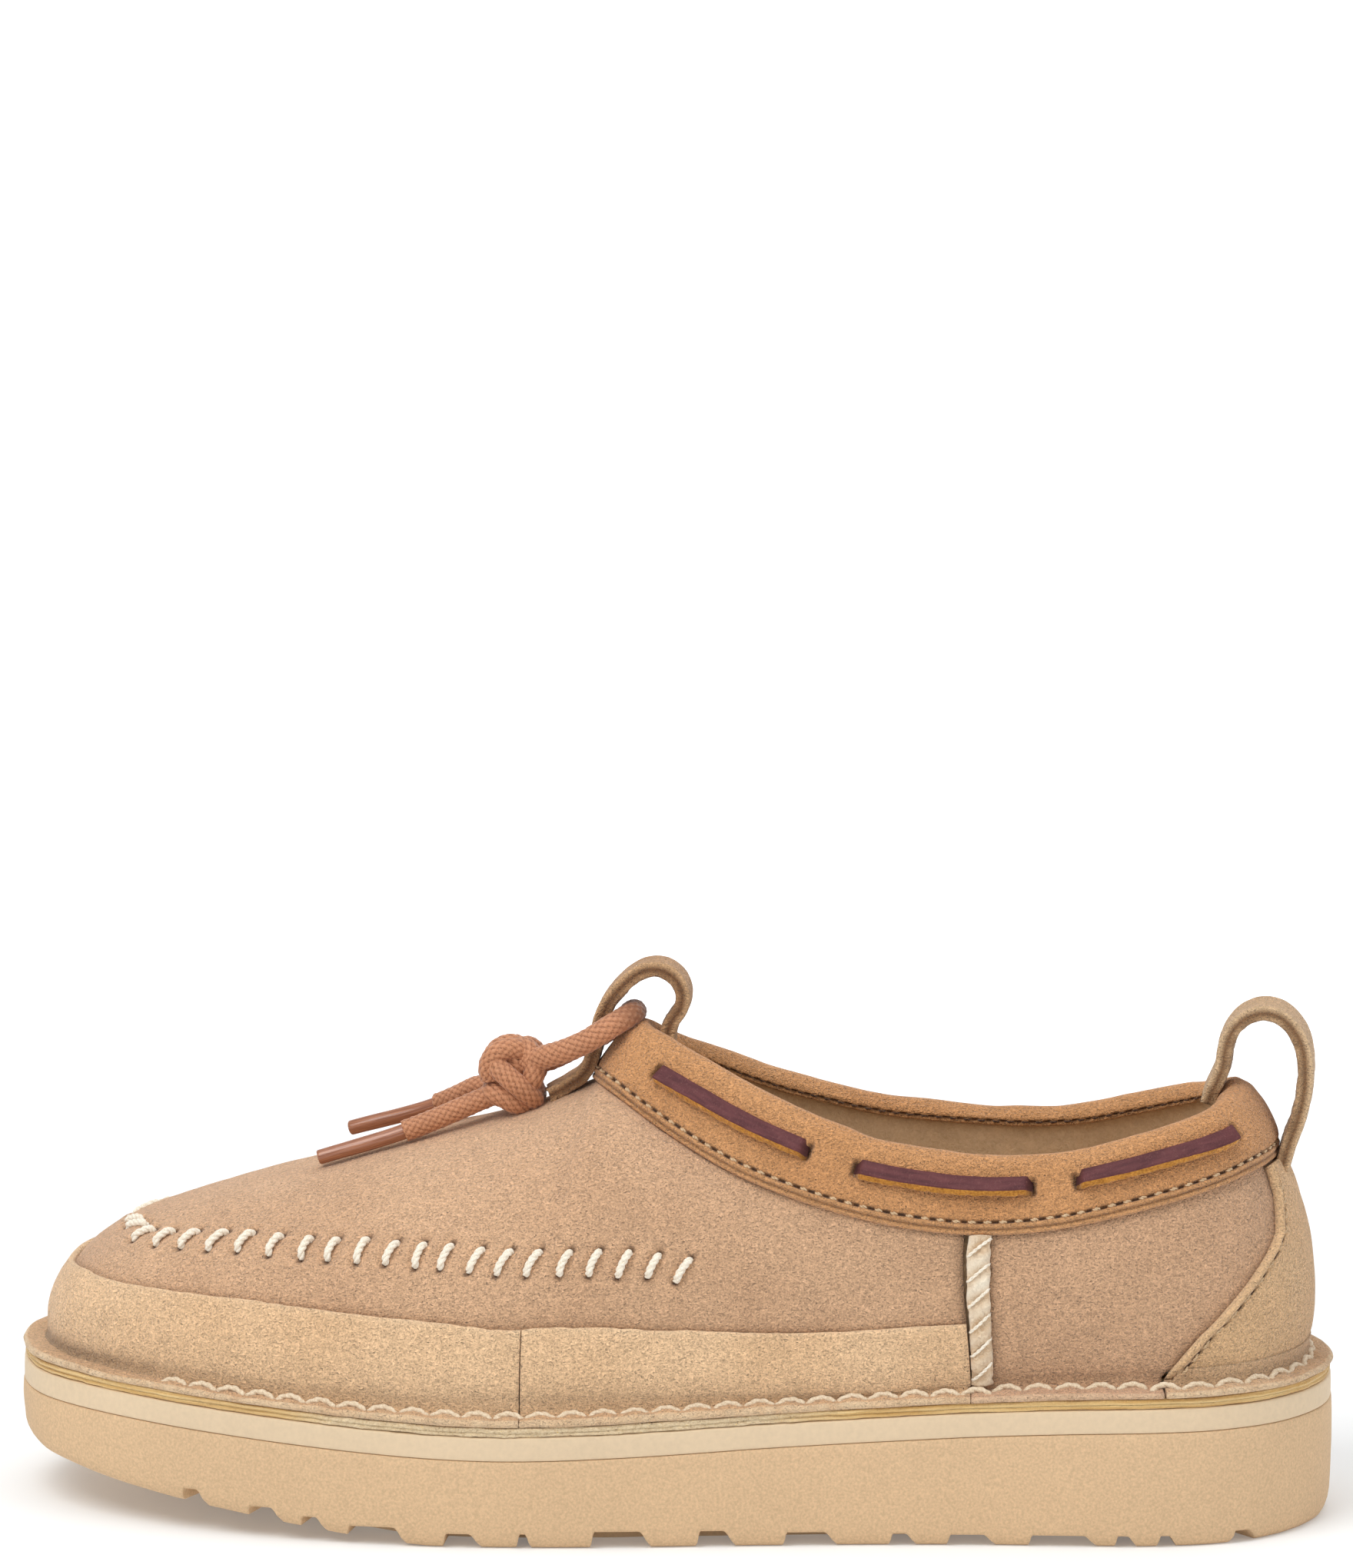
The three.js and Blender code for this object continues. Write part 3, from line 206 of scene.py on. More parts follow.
def noise_along(length, size, seed):
    return noise(c_[length, length*0, length*0], size, seed)

def jitter(i, seed):
    """A fixed random value from -0.5 to 0.5 for stitch i."""
    return hash01(i, 3, 5, seed) - .5

def soft(pts):
    """Gentle unevenness of a hide, in mm."""
    return .30*noise(pts, 17, 1) + .14*noise(pts, 6.5, 2) + .06*noise(pts, 2.3, 3)

# ---------- sole edge and upper surface ----------
_half = run(c_[OUTLINE[:, 0], (OUTLINE[:, 2] - OUTLINE[:, 1])/2])
HALF_LOOP = _half/_half[-1]*.5
LOOP_TABLE = c_[r_[HALF_LOOP, 1 - HALF_LOOP[-2:0:-1]],
                vstack([OUTLINE[:, [0, 1]], OUTLINE[:, [0, 2]][-2:0:-1]])]

def station(x):
    return interp(x, OUTLINE[:, 0], HALF_LOOP)

def outline(loop):
    return curve(LOOP_TABLE, loop, 1.0)

def out_normal(loop):
    along = unit(outline(loop + 1e-3) - outline(loop - 1e-3))
    return stack([along[:, 1], -along[:, 0]], -1)

def flange_width(loop):
    return 5.8 + 1.3*bell(fold(loop), .06) + 1.4*bell(mod(loop, 1.0), .06, .5)

def feather(loop, inset=None):
    """The outline moved in, by the flange's width unless told otherwise."""
    if inset is None:
        inset = flange_width(loop)
    return outline(loop) - out_normal(loop)*np.reshape(inset, (-1, 1))

def sole_top(x):
    return curve(SOLE_TOP, x)

def sole_bottom(x):
    return interp(x, SOLE_BOTTOM[:, 0], SOLE_BOTTOM[:, 1])

def whole_turn(half):
    """The outer half plus its mirror, which sits slightly lower and narrower."""
    half = half.copy()
    half[:, 0] *= .5/TURN_BACK
    other = half[-2:0:-1].copy()
    turn = other[:, 0].copy()
    swell = sin(pi*clip(turn/.5, 0, 1))
    other[:, 3] -= .5*swell + 1.6*bell(turn, .09, .13)*(turn > .02)
    other[:, 0] = 1 - turn
    other[:, 2] *= -(1 - .05*swell)
    return vstack([half, other])

SEAM_TABLE, TOP_TABLE = whole_turn(SEAM_HALF), whole_turn(TOP_HALF)
for _turn, _drop in TOP_DIPS:
    TOP_TABLE[np.abs(fold(TOP_TABLE[:, 0]) - _turn*.5/TURN_BACK) < 1e-6, 3] -= _drop
_inner = TOP_TABLE[:, 0] > .5
_turn = 1 - TOP_TABLE[_inner, 0]
TOP_TABLE[_inner, 3] -= 1.5*bell(_turn, .10, .10)*smooth(_turn, 0.0, .05)

def seam_line(turn):
    return curve(SEAM_TABLE, turn, 1.0)

def top_line(turn):
    return curve(TOP_TABLE, turn, 1.0)

SEAM_START = float(station(-22.0))          # loop where the collar begins
TURN_TABLE = array([(SEAM_START, 0.0)]
                   + [(station(x), turn/TURN_BACK*.5) for x, turn in SOLE_TO_TURN] + [(.5, .5)])

def turn_of(loop):
    turn = curve(TURN_TABLE, clip(fold(loop), SEAM_START, .5))
    return where(mod(loop, 1.0) > .5, 1 - turn, turn)

def wall(loop, rise):
    """The upper from the sole (rise 0) to the ridge or the collar seam (rise 1)."""
    loop, rise = np.atleast_1d(loop), np.atleast_1d(rise)[:, None]
    side = fold(loop)
    foot, out = feather(loop), out_normal(loop)
    front = side < SEAM_START
    x = curve(WALL_TO_RIDGE, clip(side/SEAM_START, 0, 1))
    slope = curve(RIDGE, x + .5) - curve(RIDGE, x - .5)
    turn = turn_of(loop)
    seam, top = seam_line(turn), top_line(turn)
    ridge = stack([x, 2*clip((-16.2 - x)/30, 0, 1), curve(RIDGE, x)], -1)
    end = where(front[:, None], ridge, seam)
    gap = end[:, :2] - foot
    span = norm(gap)
    aim = gap/maximum(span, 1e-9)[:, None]
    back = smooth(side, SEAM_START, station(60))
    level = c_[aim, .29*aim[:, 0]]
    on_ridge = c_[aim, slope*aim[:, 0]]
    on_seam = level*(1 - back[:, None]) + unit(top - seam)*back[:, None]
    lead = unit(where(front[:, None], on_ridge, on_seam))
    back = where(front, 0, back)
    floor_z = sole_top(foot[:, 0]) + FLANGE_TOP
    tall = end[:, 2] - floor_z
    pull_up = (.62*(1 - back) + .33*back)*tall
    pull_in = .54*span*(1 - back) + .33*tall*back
    lean = .10*(1 - back) + .30*back
    start = c_[foot, floor_z]
    ctrl1 = start + c_[out*(lean*pull_up)[:, None], pull_up]
    ctrl2 = end - lead*pull_in[:, None]
    rest = 1 - rise
    return (rest**3*start + 3*rest*rest*rise*ctrl1 + 3*rest*rise*rise*ctrl2 + rise**3*end)

def skin(loop, rise):
    """The upper's surface; rise 1..2 is the collar band."""
    loop, rise = np.ravel(loop), np.ravel(rise)
    out = wall(loop, minimum(rise, 1))
    above = rise > 1
    if above.any():
        turn = turn_of(loop[above])
        seam = seam_line(turn)
        out[above] = seam + (top_line(turn) - seam)*(rise[above] - 1)[:, None]
    return out

def skin_normal(loop, rise):
    loop, rise = np.ravel(loop), np.ravel(rise)
    eps = 1e-3
    above = rise > 1
    low = where(above, maximum(1.02, rise - .02), clip(rise - .01, 0, .965))
    high = low + .02
    mid = (low + high)/2
    up = skin(loop, high) - skin(loop, low)
    along = skin(loop + eps, mid) - skin(loop - eps, mid)
    along[above & (fold(loop) - eps < SEAM_START)] = (0, -1, 0)
    return unit(np.cross(along, up))

def off_skin(loop, rise, dist):
    return skin(loop, rise) + skin_normal(loop, rise)*np.reshape(dist, (-1, 1))

def band(turn):
    """Collar frame: seam point, direction up the band, outward, height."""
    seam, top = seam_line(turn), top_line(turn)
    up = unit(top - seam)
    def middle(at):
        return (seam_line(at) + top_line(at))/2
    out = unit(np.cross(middle(turn + 2e-3) - middle(turn - 2e-3), up))
    return seam, up, out, norm(top - seam)

def arc(line, start, end, count=2000):
    """Parameters and running length along a line."""
    at = linspace(start, end, count)
    return at, run(line(at))

def by_length(line, start, end, step):
    """Parameters evenly spaced by length."""
    at, length = arc(line, start, end)
    count = max(2, int(round(length[-1]/(step*STEP))) + 1)
    return interp(linspace(0, length[-1], count), length, at)

# the turned-out edge is stitched with a whole number of stitches round the feather line
LOOP_AT, LOOP_LENGTH = arc(feather, 0, 1, 4000)
PERIMETER = LOOP_LENGTH[-1]
EDGE_PITCH = 6.5
EDGE_STITCHES = int(round(PERIMETER/EDGE_PITCH))

def edge_phase(loop):
    return interp(mod(loop, 1), LOOP_AT, LOOP_LENGTH)/PERIMETER*EDGE_STITCHES

# ---------- meshes ----------
def quads(a, b, c, d):
    return stack([stack([a, b, c], -1), stack([a, c, d], -1)], 2).reshape(-1, 3)

def grid_faces(rows, cols, wrap=False, base=0):
    i, j = arange(rows if wrap else rows - 1)[:, None], arange(cols - 1)[None]
    a, b = i*cols + j, ((i + 1) % rows)*cols + j
    return quads(a, b, b + 1, a + 1) + base

def weld(verts, faces, tol=2e-3):
    """Indices of the distinct points, the faces on them, and which faces survive."""
    cell = np.round(verts/tol).astype(np.int64) + 2**20
    key = (cell[:, 0] << 42) + (cell[:, 1] << 21) + cell[:, 2]
    _, idx, inverse = np.unique(key, return_index=True, return_inverse=True)
    faces = inverse[faces]
    a, b, c = faces.T
    good = (a != b) & (b != c) & (a != c)
    return idx, faces[good], good

class Piece:
    """Closed bodies gathered into one object, with dark, pale, UV and material per part."""
    def __init__(self):
        self.verts, self.faces, self.data, self.mats, self.count = [], [], [], [], 0

    def add(self, verts, faces, dark=0.0, pale=0.0, uv=None, mat=0):
        data = zeros((len(verts), 4))
        data[:, 0], data[:, 1] = dark, pale
        if uv is not None:
            data[:, 2:] = uv
        idx, tris, good = weld(verts, faces)
        verts = verts[idx]
        a, b, c = (verts[tris[:, k]] for k in range(3))
        if np.einsum("ij,ij->i", a, np.cross(b, c)).sum() < 0:      # inside out
            tris = tris[:, ::-1]
        self.verts.append(verts)
        self.faces.append(tris + self.count)
        self.data.append(data[idx])
        self.mats.append(broadcast_to(mat, len(faces))[good])
        self.count += len(verts)
        return self

def mesh(name, piece, mats, replaces=(), body="shoe"):
    verts, tris = vstack(piece.verts), vstack(piece.faces)
    data, mat = vstack(piece.data), concatenate(piece.mats)
    me = bpy.data.meshes.new(name)
    me.vertices.add(len(verts))
    me.vertices.foreach_set("co", (verts*.001).astype(np.float32).ravel())
    me.loops.add(3*len(tris))
    me.loops.foreach_set("vertex_index", tris.astype(np.int32).ravel())
    me.polygons.add(len(tris))
    me.polygons.foreach_set("loop_start", arange(0, 3*len(tris), 3, dtype=np.int32))
    me.update(calc_edges=True)
    me.polygons.foreach_set("use_smooth", ones(len(tris), bool))
    me.polygons.foreach_set("material_index", mat.astype(np.int32))
    for k, attr in enumerate(("dark", "pale")):
        layer = me.attributes.new(attr, "FLOAT", "POINT")
        layer.data.foreach_set("value", data[:, k].astype(np.float32))
    uv = me.uv_layers.new(name="UVMap")
    uv.data.foreach_set("uv", data[tris.ravel(), 2:].astype(np.float32).ravel())
    for m in mats if isinstance(mats, list) else [mats]:
        me.materials.append(m)
    me.update()
    ob = bpy.data.objects.new(name, me)
    bpy.context.scene.collection.objects.link(ob)
    if body:
        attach(ob, body)
    if replaces:
        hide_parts(*replaces)
    return ob

def join_shell(outer, inner, faces):
    """Two sheets with the same faces, joined round their border."""
    n = len(outer)
    edges = concatenate([faces[:, [0, 1]], faces[:, [1, 2]], faces[:, [2, 0]]])
    a, b = edges[~np.isin(edges[:, 0]*n + edges[:, 1], edges[:, 1]*n + edges[:, 0])].T
    rim = concatenate([stack([b, a, a + n], -1), stack([b, a + n, b + n], -1)])
    return vstack([outer, inner]), vstack([faces, faces[:, ::-1] + n, rim])

def shell(outer, inner, full, faces=None):
    """Outer and inner grids joined; full 0..1 closes the thickness at rounded edges."""
    mid, half = (outer + inner)/2, (outer - inner)/2*full[..., None]
    if faces is None:
        faces = grid_faces(*outer.shape[:2])
    return join_shell((mid + half).reshape(-1, 3), (mid - half).reshape(-1, 3), faces)

EDGE = radians([0, 20, 42, 66])              # steps of a rounded edge

def rows(start, end, count, scale, start_radius=0.0, end_radius=0.0):
    """Stations with rounded ends, and fullness; scale is mm per unit."""
    start, end, scale = np.broadcast_arrays(*[np.atleast_1d(v) for v in (start, end, scale)])
    out, full = [], []
    if start_radius:
        out += [start + start_radius*(1 - cos(q))/scale for q in EDGE]
        full += list(sin(EDGE))
    for u in linspace(0, 1, count):
        out.append((start + start_radius/scale)*(1 - u) + (end - end_radius/scale)*u)
        full.append(1.0)
    if end_radius:
        out += [end - end_radius*(1 - cos(q))/scale for q in EDGE[::-1]]
        full += list(sin(EDGE[::-1]))
    return stack(out, -1), array(full)

def end_rows(start, end, step, start_radius, end_radius):
    """rows() along the loop."""
    count = max(3, int(abs(end - start)*PERIMETER/(step*STEP)))
    loop, full = rows(start, end, count, PERIMETER, start_radius, end_radius)
    return loop[0], full

def sweep(rings, closed=False):
    """Closed rings (n, m, 3) along a path, capped with a centre point if the path is open."""
    n, m = rings.shape[:2]
    i, j = arange(n if closed else n - 1)[:, None], arange(m)[None]
    after, ahead = (j + 1) % m, ((i + 1) % n)*m
    faces = quads(i*m + j, i*m + after, ahead + after, ahead + j)
    verts = rings.reshape(-1, 3)
    if not closed:
        k, j, after = len(verts), j[0], after[0]
        verts = vstack([verts, rings[0].mean(0), rings[-1].mean(0)])
        last = (n - 1)*m
        faces = vstack([faces, stack([after, j, 0*j + k], -1),
                        stack([last + j, last + after, 0*j + k + 1], -1)])
    return verts, faces

def ring_points(path, side, up, x, y):
    """Rings round a path from section coordinates x along side and y along up."""
    return path[:, None] + side[:, None]*x[..., None] + up[:, None]*y[..., None]

def angles(count):
    return linspace(0, TAU, count, endpoint=False)

def ring_tube(path, side, up, radius, sides):
    q = angles(sides)[None, :, None]
    return path[:, None] + np.asarray(radius)[..., None]*(cos(q)*side[:, None]
                                                          + sin(q)*up[:, None])

def transport(path, first):
    """Tangent and two normals carried along a path without twist."""
    tangent = unit(np.gradient(path, axis=0))
    side = np.empty_like(path)
    v = array(first, float)
    for i, t in enumerate(tangent):
        v = v - t*(v @ t)
        v = v/norm(v)
        side[i] = v
    return tangent, side, np.cross(tangent, side)

def twine(piece, path, ref, radius, pitch, sides, plies=2, phase=0.0, spread=.48, fat=.60):
    """A twisted thread of helical strands, tapered at both ends."""
    tangent = unit(np.gradient(path, axis=0))
    side = unit(np.cross(ref, tangent))
    up = np.cross(tangent, side)
    length = run(path)
    taper = clip(minimum(length, length[-1] - length)/(.9*radius) + .45, 0, 1)
    for j in range(plies):
        q = (TAU*(length/pitch + j/plies) + phase)[:, None]
        strand = path + (cos(q)*side + sin(q)*up)*(spread*radius*taper)[:, None]
        piece.add(*sweep(ring_tube(strand, side, up, (fat*radius*taper)[:, None], sides)))

def loft(rings):
    """rings (places round the loop from the toe tip, rows, 3), capped across at both ends."""
    n, m = rings.shape[:2]
    faces = [grid_faces(n, m, wrap=True)]
    k = arange(n//2)
    a, b, c, d = k, (k + 1) % n, (n - k - 1) % n, (n - k) % n
    cap = concatenate([stack([a, b, c], -1), stack([a, c, d], -1)])*m
    return rings.reshape(-1, 3), vstack(faces + [cap, (cap + m - 1)[:, ::-1]])

def orient(verts, faces):
    """Faces made to agree with each other and to point out."""
    me = bpy.data.meshes.new("tmp")
    idx, tris, _ = weld(verts, faces)
    me.from_pydata(verts[idx].tolist(), [], tris.tolist())
    bm = bmesh.new()
    bm.from_mesh(me)
    bmesh.ops.recalc_face_normals(bm, faces=bm.faces)
    bm.faces.ensure_lookup_table()
    tris = array([[v.index for v in f.verts] for f in bm.faces])
    bm.free()
    bpy.data.meshes.remove(me)
    return idx[tris]

# ---------- materials (colours are 0..255 sRGB) ----------
def linear(rgb):
    c = array(rgb)/255
    return tuple(where(c <= .04045, c/12.92, ((c + .055)/1.055)**2.4)) + (1.0,)

class Mat:
    """A small helper over one node tree."""
    def __init__(self, name, rough=.9, sheen=0.0, spec=.3):
        self.mat = bpy.data.materials.new(name)
        self.mat.use_nodes = True
        self.tree = self.mat.node_tree
        self.shader = self.tree.nodes["Principled BSDF"].inputs
        for key, value in (("Roughness", rough), ("Specular IOR Level", spec),
                           ("Sheen Weight", sheen), ("Sheen Roughness", .45)):
            self.shader[key].default_value = value
        self.place = self.node("ShaderNodeTexCoord").outputs["Object"]
        self.normal = None

    def node(self, kind, **settings):
        node = self.tree.nodes.new(kind)
        for key, value in settings.items():
            setattr(node, key, value)
        return node

    def link(self, a, b):
        self.tree.links.new(a, b)

    def feed(self, socket, value):
        """Link a socket, or set a number or a colour."""
        if isinstance(value, (int, float)):
            socket.default_value = value
        elif isinstance(value, tuple):
            socket.default_value = linear(value)
        else:
            self.link(value, socket)

    def calc(self, op, a, b=None, clamp=False):
        node = self.node("ShaderNodeMath", operation=op, use_clamp=clamp)
        self.feed(node.inputs[0], a)
        if b is not None:
            self.feed(node.inputs[1], b)
        return node.outputs[0]

    def ramp(self, value, span, to=(0.0, 1.0)):
        """value mapped from span to to, clamped."""
        node = self.node("ShaderNodeMapRange", clamp=True)
        self.link(value, node.inputs[0])
        for i, x in enumerate((*span, *to), 1):
            node.inputs[i].default_value = x
        return node.outputs[0]

    def noise(self, mm, detail=2.0, rough=.5, distort=0.0, stretch=(1, 1, 1), uv=None):
        """Noise 0..1 with features about mm across, in object space or on a UV map in mm."""
        place = self.node("ShaderNodeMapping")
        self.link(uv or self.place, place.inputs[0])
        scale = 1.0/mm if uv else 1000.0/mm
        place.inputs["Scale"].default_value = [scale*v for v in stretch]
        node = self.node("ShaderNodeTexNoise")
        self.link(place.outputs[0], node.inputs["Vector"])
        for key, value in (("Scale", 1.0), ("Detail", detail), ("Roughness", rough),
                           ("Distortion", distort)):
            node.inputs[key].default_value = value
        return node.outputs[0]

    def mix(self, factor, a, b, mode="MIX"):
        node = self.node("ShaderNodeMix", data_type="RGBA", blend_type=mode, clamp_factor=True)
        for i, value in ((0, factor), (6, a), (7, b)):
            self.feed(node.inputs[i], value)
        return node.outputs[2]

    def attr(self, name):
        return self.node("ShaderNodeAttribute", attribute_name=name).outputs["Fac"]

    def tint(self, col, attr, target):
        """col moved to target by a mesh attribute."""
        return self.mix(self.attr(attr), col, target)

    def uv(self):
        return self.node("ShaderNodeUVMap").outputs[0]

    def vary(self, col, value, span, gain):
        """col multiplied by gain as value crosses span."""
        factor = self.ramp(value, span, gain)
        grey = self.node("ShaderNodeCombineColor")
        for i in range(3):
            self.link(factor, grey.inputs[i])
        return self.mix(1.0, col, grey.outputs[0], "MULTIPLY")

    def bump(self, value, mm):
        """value 0..1 stands for mm of height."""
        node = self.node("ShaderNodeBump")
        node.inputs["Strength"].default_value = 1.0
        node.inputs["Distance"].default_value = mm*.001
        self.link(value, node.inputs["Height"])
        if self.normal is not None:
            self.link(self.normal, node.inputs["Normal"])
        self.normal = node.outputs[0]

    def done(self, col):
        self.link(col, self.shader["Base Color"])
        self.link(self.normal, self.shader["Normal"])
        return self.mat

MIDDLE = (.3, .7)                           # usual span of a noise value

def suede(name, base, shade, light, shade_and_seam=(70, 45, 30), edge=None):
    m = Mat(name, rough=.95, sheen=.25, spec=.15)
    broad = m.noise(26)
    patch = m.noise(5.0, detail=2.5, rough=.6)
    nap = m.noise(.98*.8, rough=.62, distort=.6, stretch=(1, 1, 1.7))
    fine = m.noise(.52*.8, detail=1.5, rough=.6, distort=.4)
    c = m.mix(m.ramp(broad, MIDDLE), shade, light)
    c = m.mix(.60, c, base)
    c = m.vary(c, patch, (.25, .75), gain=(.955, 1.045))
    c = m.vary(c, nap, MIDDLE, gain=(.79, 1.20))
    c = m.vary(c, fine, (.28, .72), gain=(.77, 1.25))
    c = m.tint(c, "pale", edge or light)
    # dark attribute: painted shade in creases, under overlapping edges, in stitch holes and slits;
    # on the straps also the darker parting line and back layer
    c = m.tint(c, "dark", shade_and_seam)
    m.bump(nap, .72)
    m.bump(fine, .42)
    return m.done(c)

def foam(name, base, speck, grain, bump, rough=.75):
    m = Mat(name, rough=rough)
    fine, broad = m.noise(grain, rough=.6), m.noise(30)
    c = m.vary(base, fine, MIDDLE, gain=(1 - 1.8*speck, 1 + 1.8*speck))
    c = m.vary(c, broad, MIDDLE, gain=(.98, 1.02))
    c = m.tint(c, "dark", (118, 88, 58))
    c = m.tint(c, "pale", (236, 214, 184))
    m.bump(fine, bump)
    return m.done(c)

def fleece(name, base, shade, light, size, bump):
    m = Mat(name, rough=.95, sheen=.35, spec=.1)
    pile = m.noise(size, detail=3.0, rough=.65, distort=1.2)
    broad = m.noise(size*4)
    c = m.mix(m.ramp(pile, MIDDLE), shade, light)
    c = m.mix(.4, c, base)
    c = m.vary(c, broad, MIDDLE, gain=(.94, 1.05))
    c = m.tint(c, "dark", (80, 58, 40))
    c = m.tint(c, "pale", (244, 234, 214))
    m.bump(pile, bump)
    return m.done(c)

def thread(name, base, shade):
    m = Mat(name, rough=.7, sheen=.3)
    fibre = m.noise(.35, rough=.6)
    c = m.mix(m.ramp(fibre, (.3, .75)), shade, base)
    c = m.tint(c, "dark", (120, 92, 66))
    m.bump(fibre, .06)
    return m.done(c)

# suedes and fleeces: name, base, shaded and light colour; threads: name, base, shaded
M_VAMP = suede("suede_tan", (214, 173, 137), (200, 158, 124), (222, 182, 146))
M_QUARTER = suede("suede_tan_rear", (207, 166, 131), (195, 154, 121), (215, 174, 139))
M_RAND = suede("suede_light", (234, 195, 153), (221, 180, 138), (241, 205, 165),
               edge=(240, 214, 178))
M_FLANGE = suede("suede_turned", (208, 168, 128), (196, 150, 108), (226, 190, 150),
                 edge=(238, 212, 176))
M_COUNTER = suede("suede_counter", (221, 180, 135), (208, 166, 123), (230, 192, 147),
                  edge=(232, 204, 166))
M_COLLAR = suede("suede_brown", (203, 148, 99), (190, 134, 86), (214, 160, 110),
                 edge=(226, 178, 130), shade_and_seam=(58, 34, 20))
M_STRAP = suede("strap_suede", (190, 148, 108), (160, 116, 78), (208, 168, 126),
                edge=(226, 190, 148), shade_and_seam=(104, 68, 42))
M_HEEL_STRAP = suede("heel_strap_suede", (204, 168, 128), (184, 144, 104), (216, 182, 144),
                     edge=(236, 210, 174), shade_and_seam=(120, 84, 54))
M_SOLE = foam("outsole_foam", (213, 181, 143), speck=.07, grain=.55, bump=.05)
M_STRIP = foam("strip_foam", (221, 198, 166), speck=.02, grain=1.2, bump=.012, rough=.6)
M_LINING = fleece("lining_felt", (222, 188, 150), (202, 166, 128), (236, 206, 168),
                  size=.9, bump=.25)
M_FOOTBED = fleece("footbed_fleece", (216, 198, 166), (184, 160, 124), (238, 224, 198),
                   size=2.2, bump=.8)
M_THREAD_CREAM = thread("thread_cream", (254, 249, 238), (228, 214, 190))
M_THREAD_BEIGE = thread("thread_beige", (244, 229, 204), (210, 186, 154))
M_SEAM = fleece("seam_welt", (216, 186, 150), (190, 152, 116), (240, 220, 192),
                size=1.0, bump=.5)
M_THREAD_TAN = thread("thread_tan", (226, 200, 164), (186, 154, 116))
M_THREAD_DARK = thread("thread_dark", (96, 66, 44), (58, 38, 26))
M_BOARD = foam("board", (178, 152, 112), speck=.10, grain=.8, bump=.05)
M_STIFF = foam("stiffener", (204, 192, 170), speck=.05, grain=.9, bump=.04)

def welt_material():
    """Yellow hide edge that turns to cream, speckled fleece where pale."""
    m = Mat("sheepskin_edge", rough=.9, sheen=.3, spec=.15)
    split = m.node("ShaderNodeSeparateXYZ")
    m.link(m.uv(), split.inputs[0])
    streak = m.noise(1.0, rough=.55, distort=.3, stretch=(.035, 1.5, 1), uv=m.uv())
    speckle = m.noise(1.0, rough=.6, distort=.8, stretch=(1.6, 2.2, 1), uv=m.uv())
    zone = m.noise(1.0, detail=1.0, stretch=(.02, 0.0, 1), uv=m.uv())
    yellow = m.mix(m.ramp(streak, (.35, .65)), (208, 166, 102), (234, 203, 146))
    cream = m.mix(m.ramp(speckle, (.32, .68)), (204, 178, 138), (236, 218, 186))
    cream = m.mix(m.ramp(speckle, (.62, .72)), cream, (222, 186, 112))
    cream = m.mix(m.ramp(speckle, (.36, .28)), cream, (168, 148, 124))
    drift = m.calc("SUBTRACT", m.calc("MULTIPLY", zone, .5), .25)
    blend = m.calc("ADD", m.attr("pale"), drift, clamp=True)
    c = m.mix(blend, yellow, cream)
    # a dark line 1.25 mm up, wavering with the streaks
    height = m.calc("ADD", split.outputs[1], m.calc("MULTIPLY", streak, .5))
    dist = m.calc("ABSOLUTE", m.calc("SUBTRACT", height, 1.25))
    line = m.ramp(dist, (.03, .12), to=(.55, 0.0))
    fade = m.ramp(blend, (.2, .9), to=(1.0, .35))
    c = m.mix(m.calc("MULTIPLY", line, fade), c, (110, 82, 44))
    c = m.tint(c, "dark", (104, 80, 50))
    m.bump(speckle, .3)
    m.bump(streak, .25)
    return m.done(c)

def thong_face():
    m = Mat("thong_face", rough=.6, spec=.22)
    uv = m.uv()
    broad = m.noise(1.0, rough=.6, distort=.4, stretch=(.16, .7, 1), uv=uv)
    crease = m.noise(1.0, rough=.7, distort=1.5, stretch=(2.2, 1.1, 1), uv=uv)
    c = m.mix(m.ramp(broad, MIDDLE), (78, 40, 44), (104, 58, 60))
    c = m.mix(m.ramp(crease, (.45, .2)), c, (124, 80, 78))
    c = m.tint(c, "dark", (46, 24, 22))
    m.bump(crease, .10)
    return m.done(c)

def thong_edge():
    m = Mat("thong_edge", rough=.95, sheen=.3, spec=.1)
    fibre, patch = m.noise(.5, rough=.6), m.noise(2.2)
    c = m.mix(m.ramp(fibre, MIDDLE), (150, 94, 34), (206, 146, 62))
    c = m.vary(c, patch, MIDDLE, gain=(.88, 1.1))
    c = m.tint(c, "dark", (70, 38, 18))
    m.bump(fibre, .2)
    return m.done(c)

def cord_material():
    m = Mat("cord_braid", rough=.62, sheen=.25, spec=.35)
    fibre, patch = m.noise(.32, rough=.6), m.noise(6)
    c = m.mix(m.ramp(fibre, MIDDLE), (176, 116, 80), (200, 142, 104))
    c = m.vary(c, patch, MIDDLE, gain=(.92, 1.08))
    c = m.tint(c, "dark", (92, 50, 30))
    c = m.tint(c, "pale", (222, 172, 136))
    m.bump(fibre, .05)
    return m.done(c)

def aglet_material():
    m = Mat("aglet", rough=.28, spec=.5)
    m.shader["Coat Weight"].default_value = .35
    m.shader["Coat Roughness"].default_value = .15
    streak = m.noise(1.0, rough=.6, distort=.3, stretch=(.12, 3.0, 1), uv=m.uv())
    c = m.mix(m.ramp(streak, MIDDLE), (128, 76, 52), (176, 118, 86))
    c = m.tint(c, "dark", (80, 46, 32))
    m.bump(streak, .05)
    return m.done(c)

M_WELT = welt_material()
M_THONG = [thong_face(), thong_edge()]
M_CORD = cord_material()
M_AGLET = aglet_material()
M_FLANGE_REAR = suede("suede_turned_rear", (208, 166, 132), (196, 150, 116), (220, 182, 148),
                      edge=(230, 198, 164))

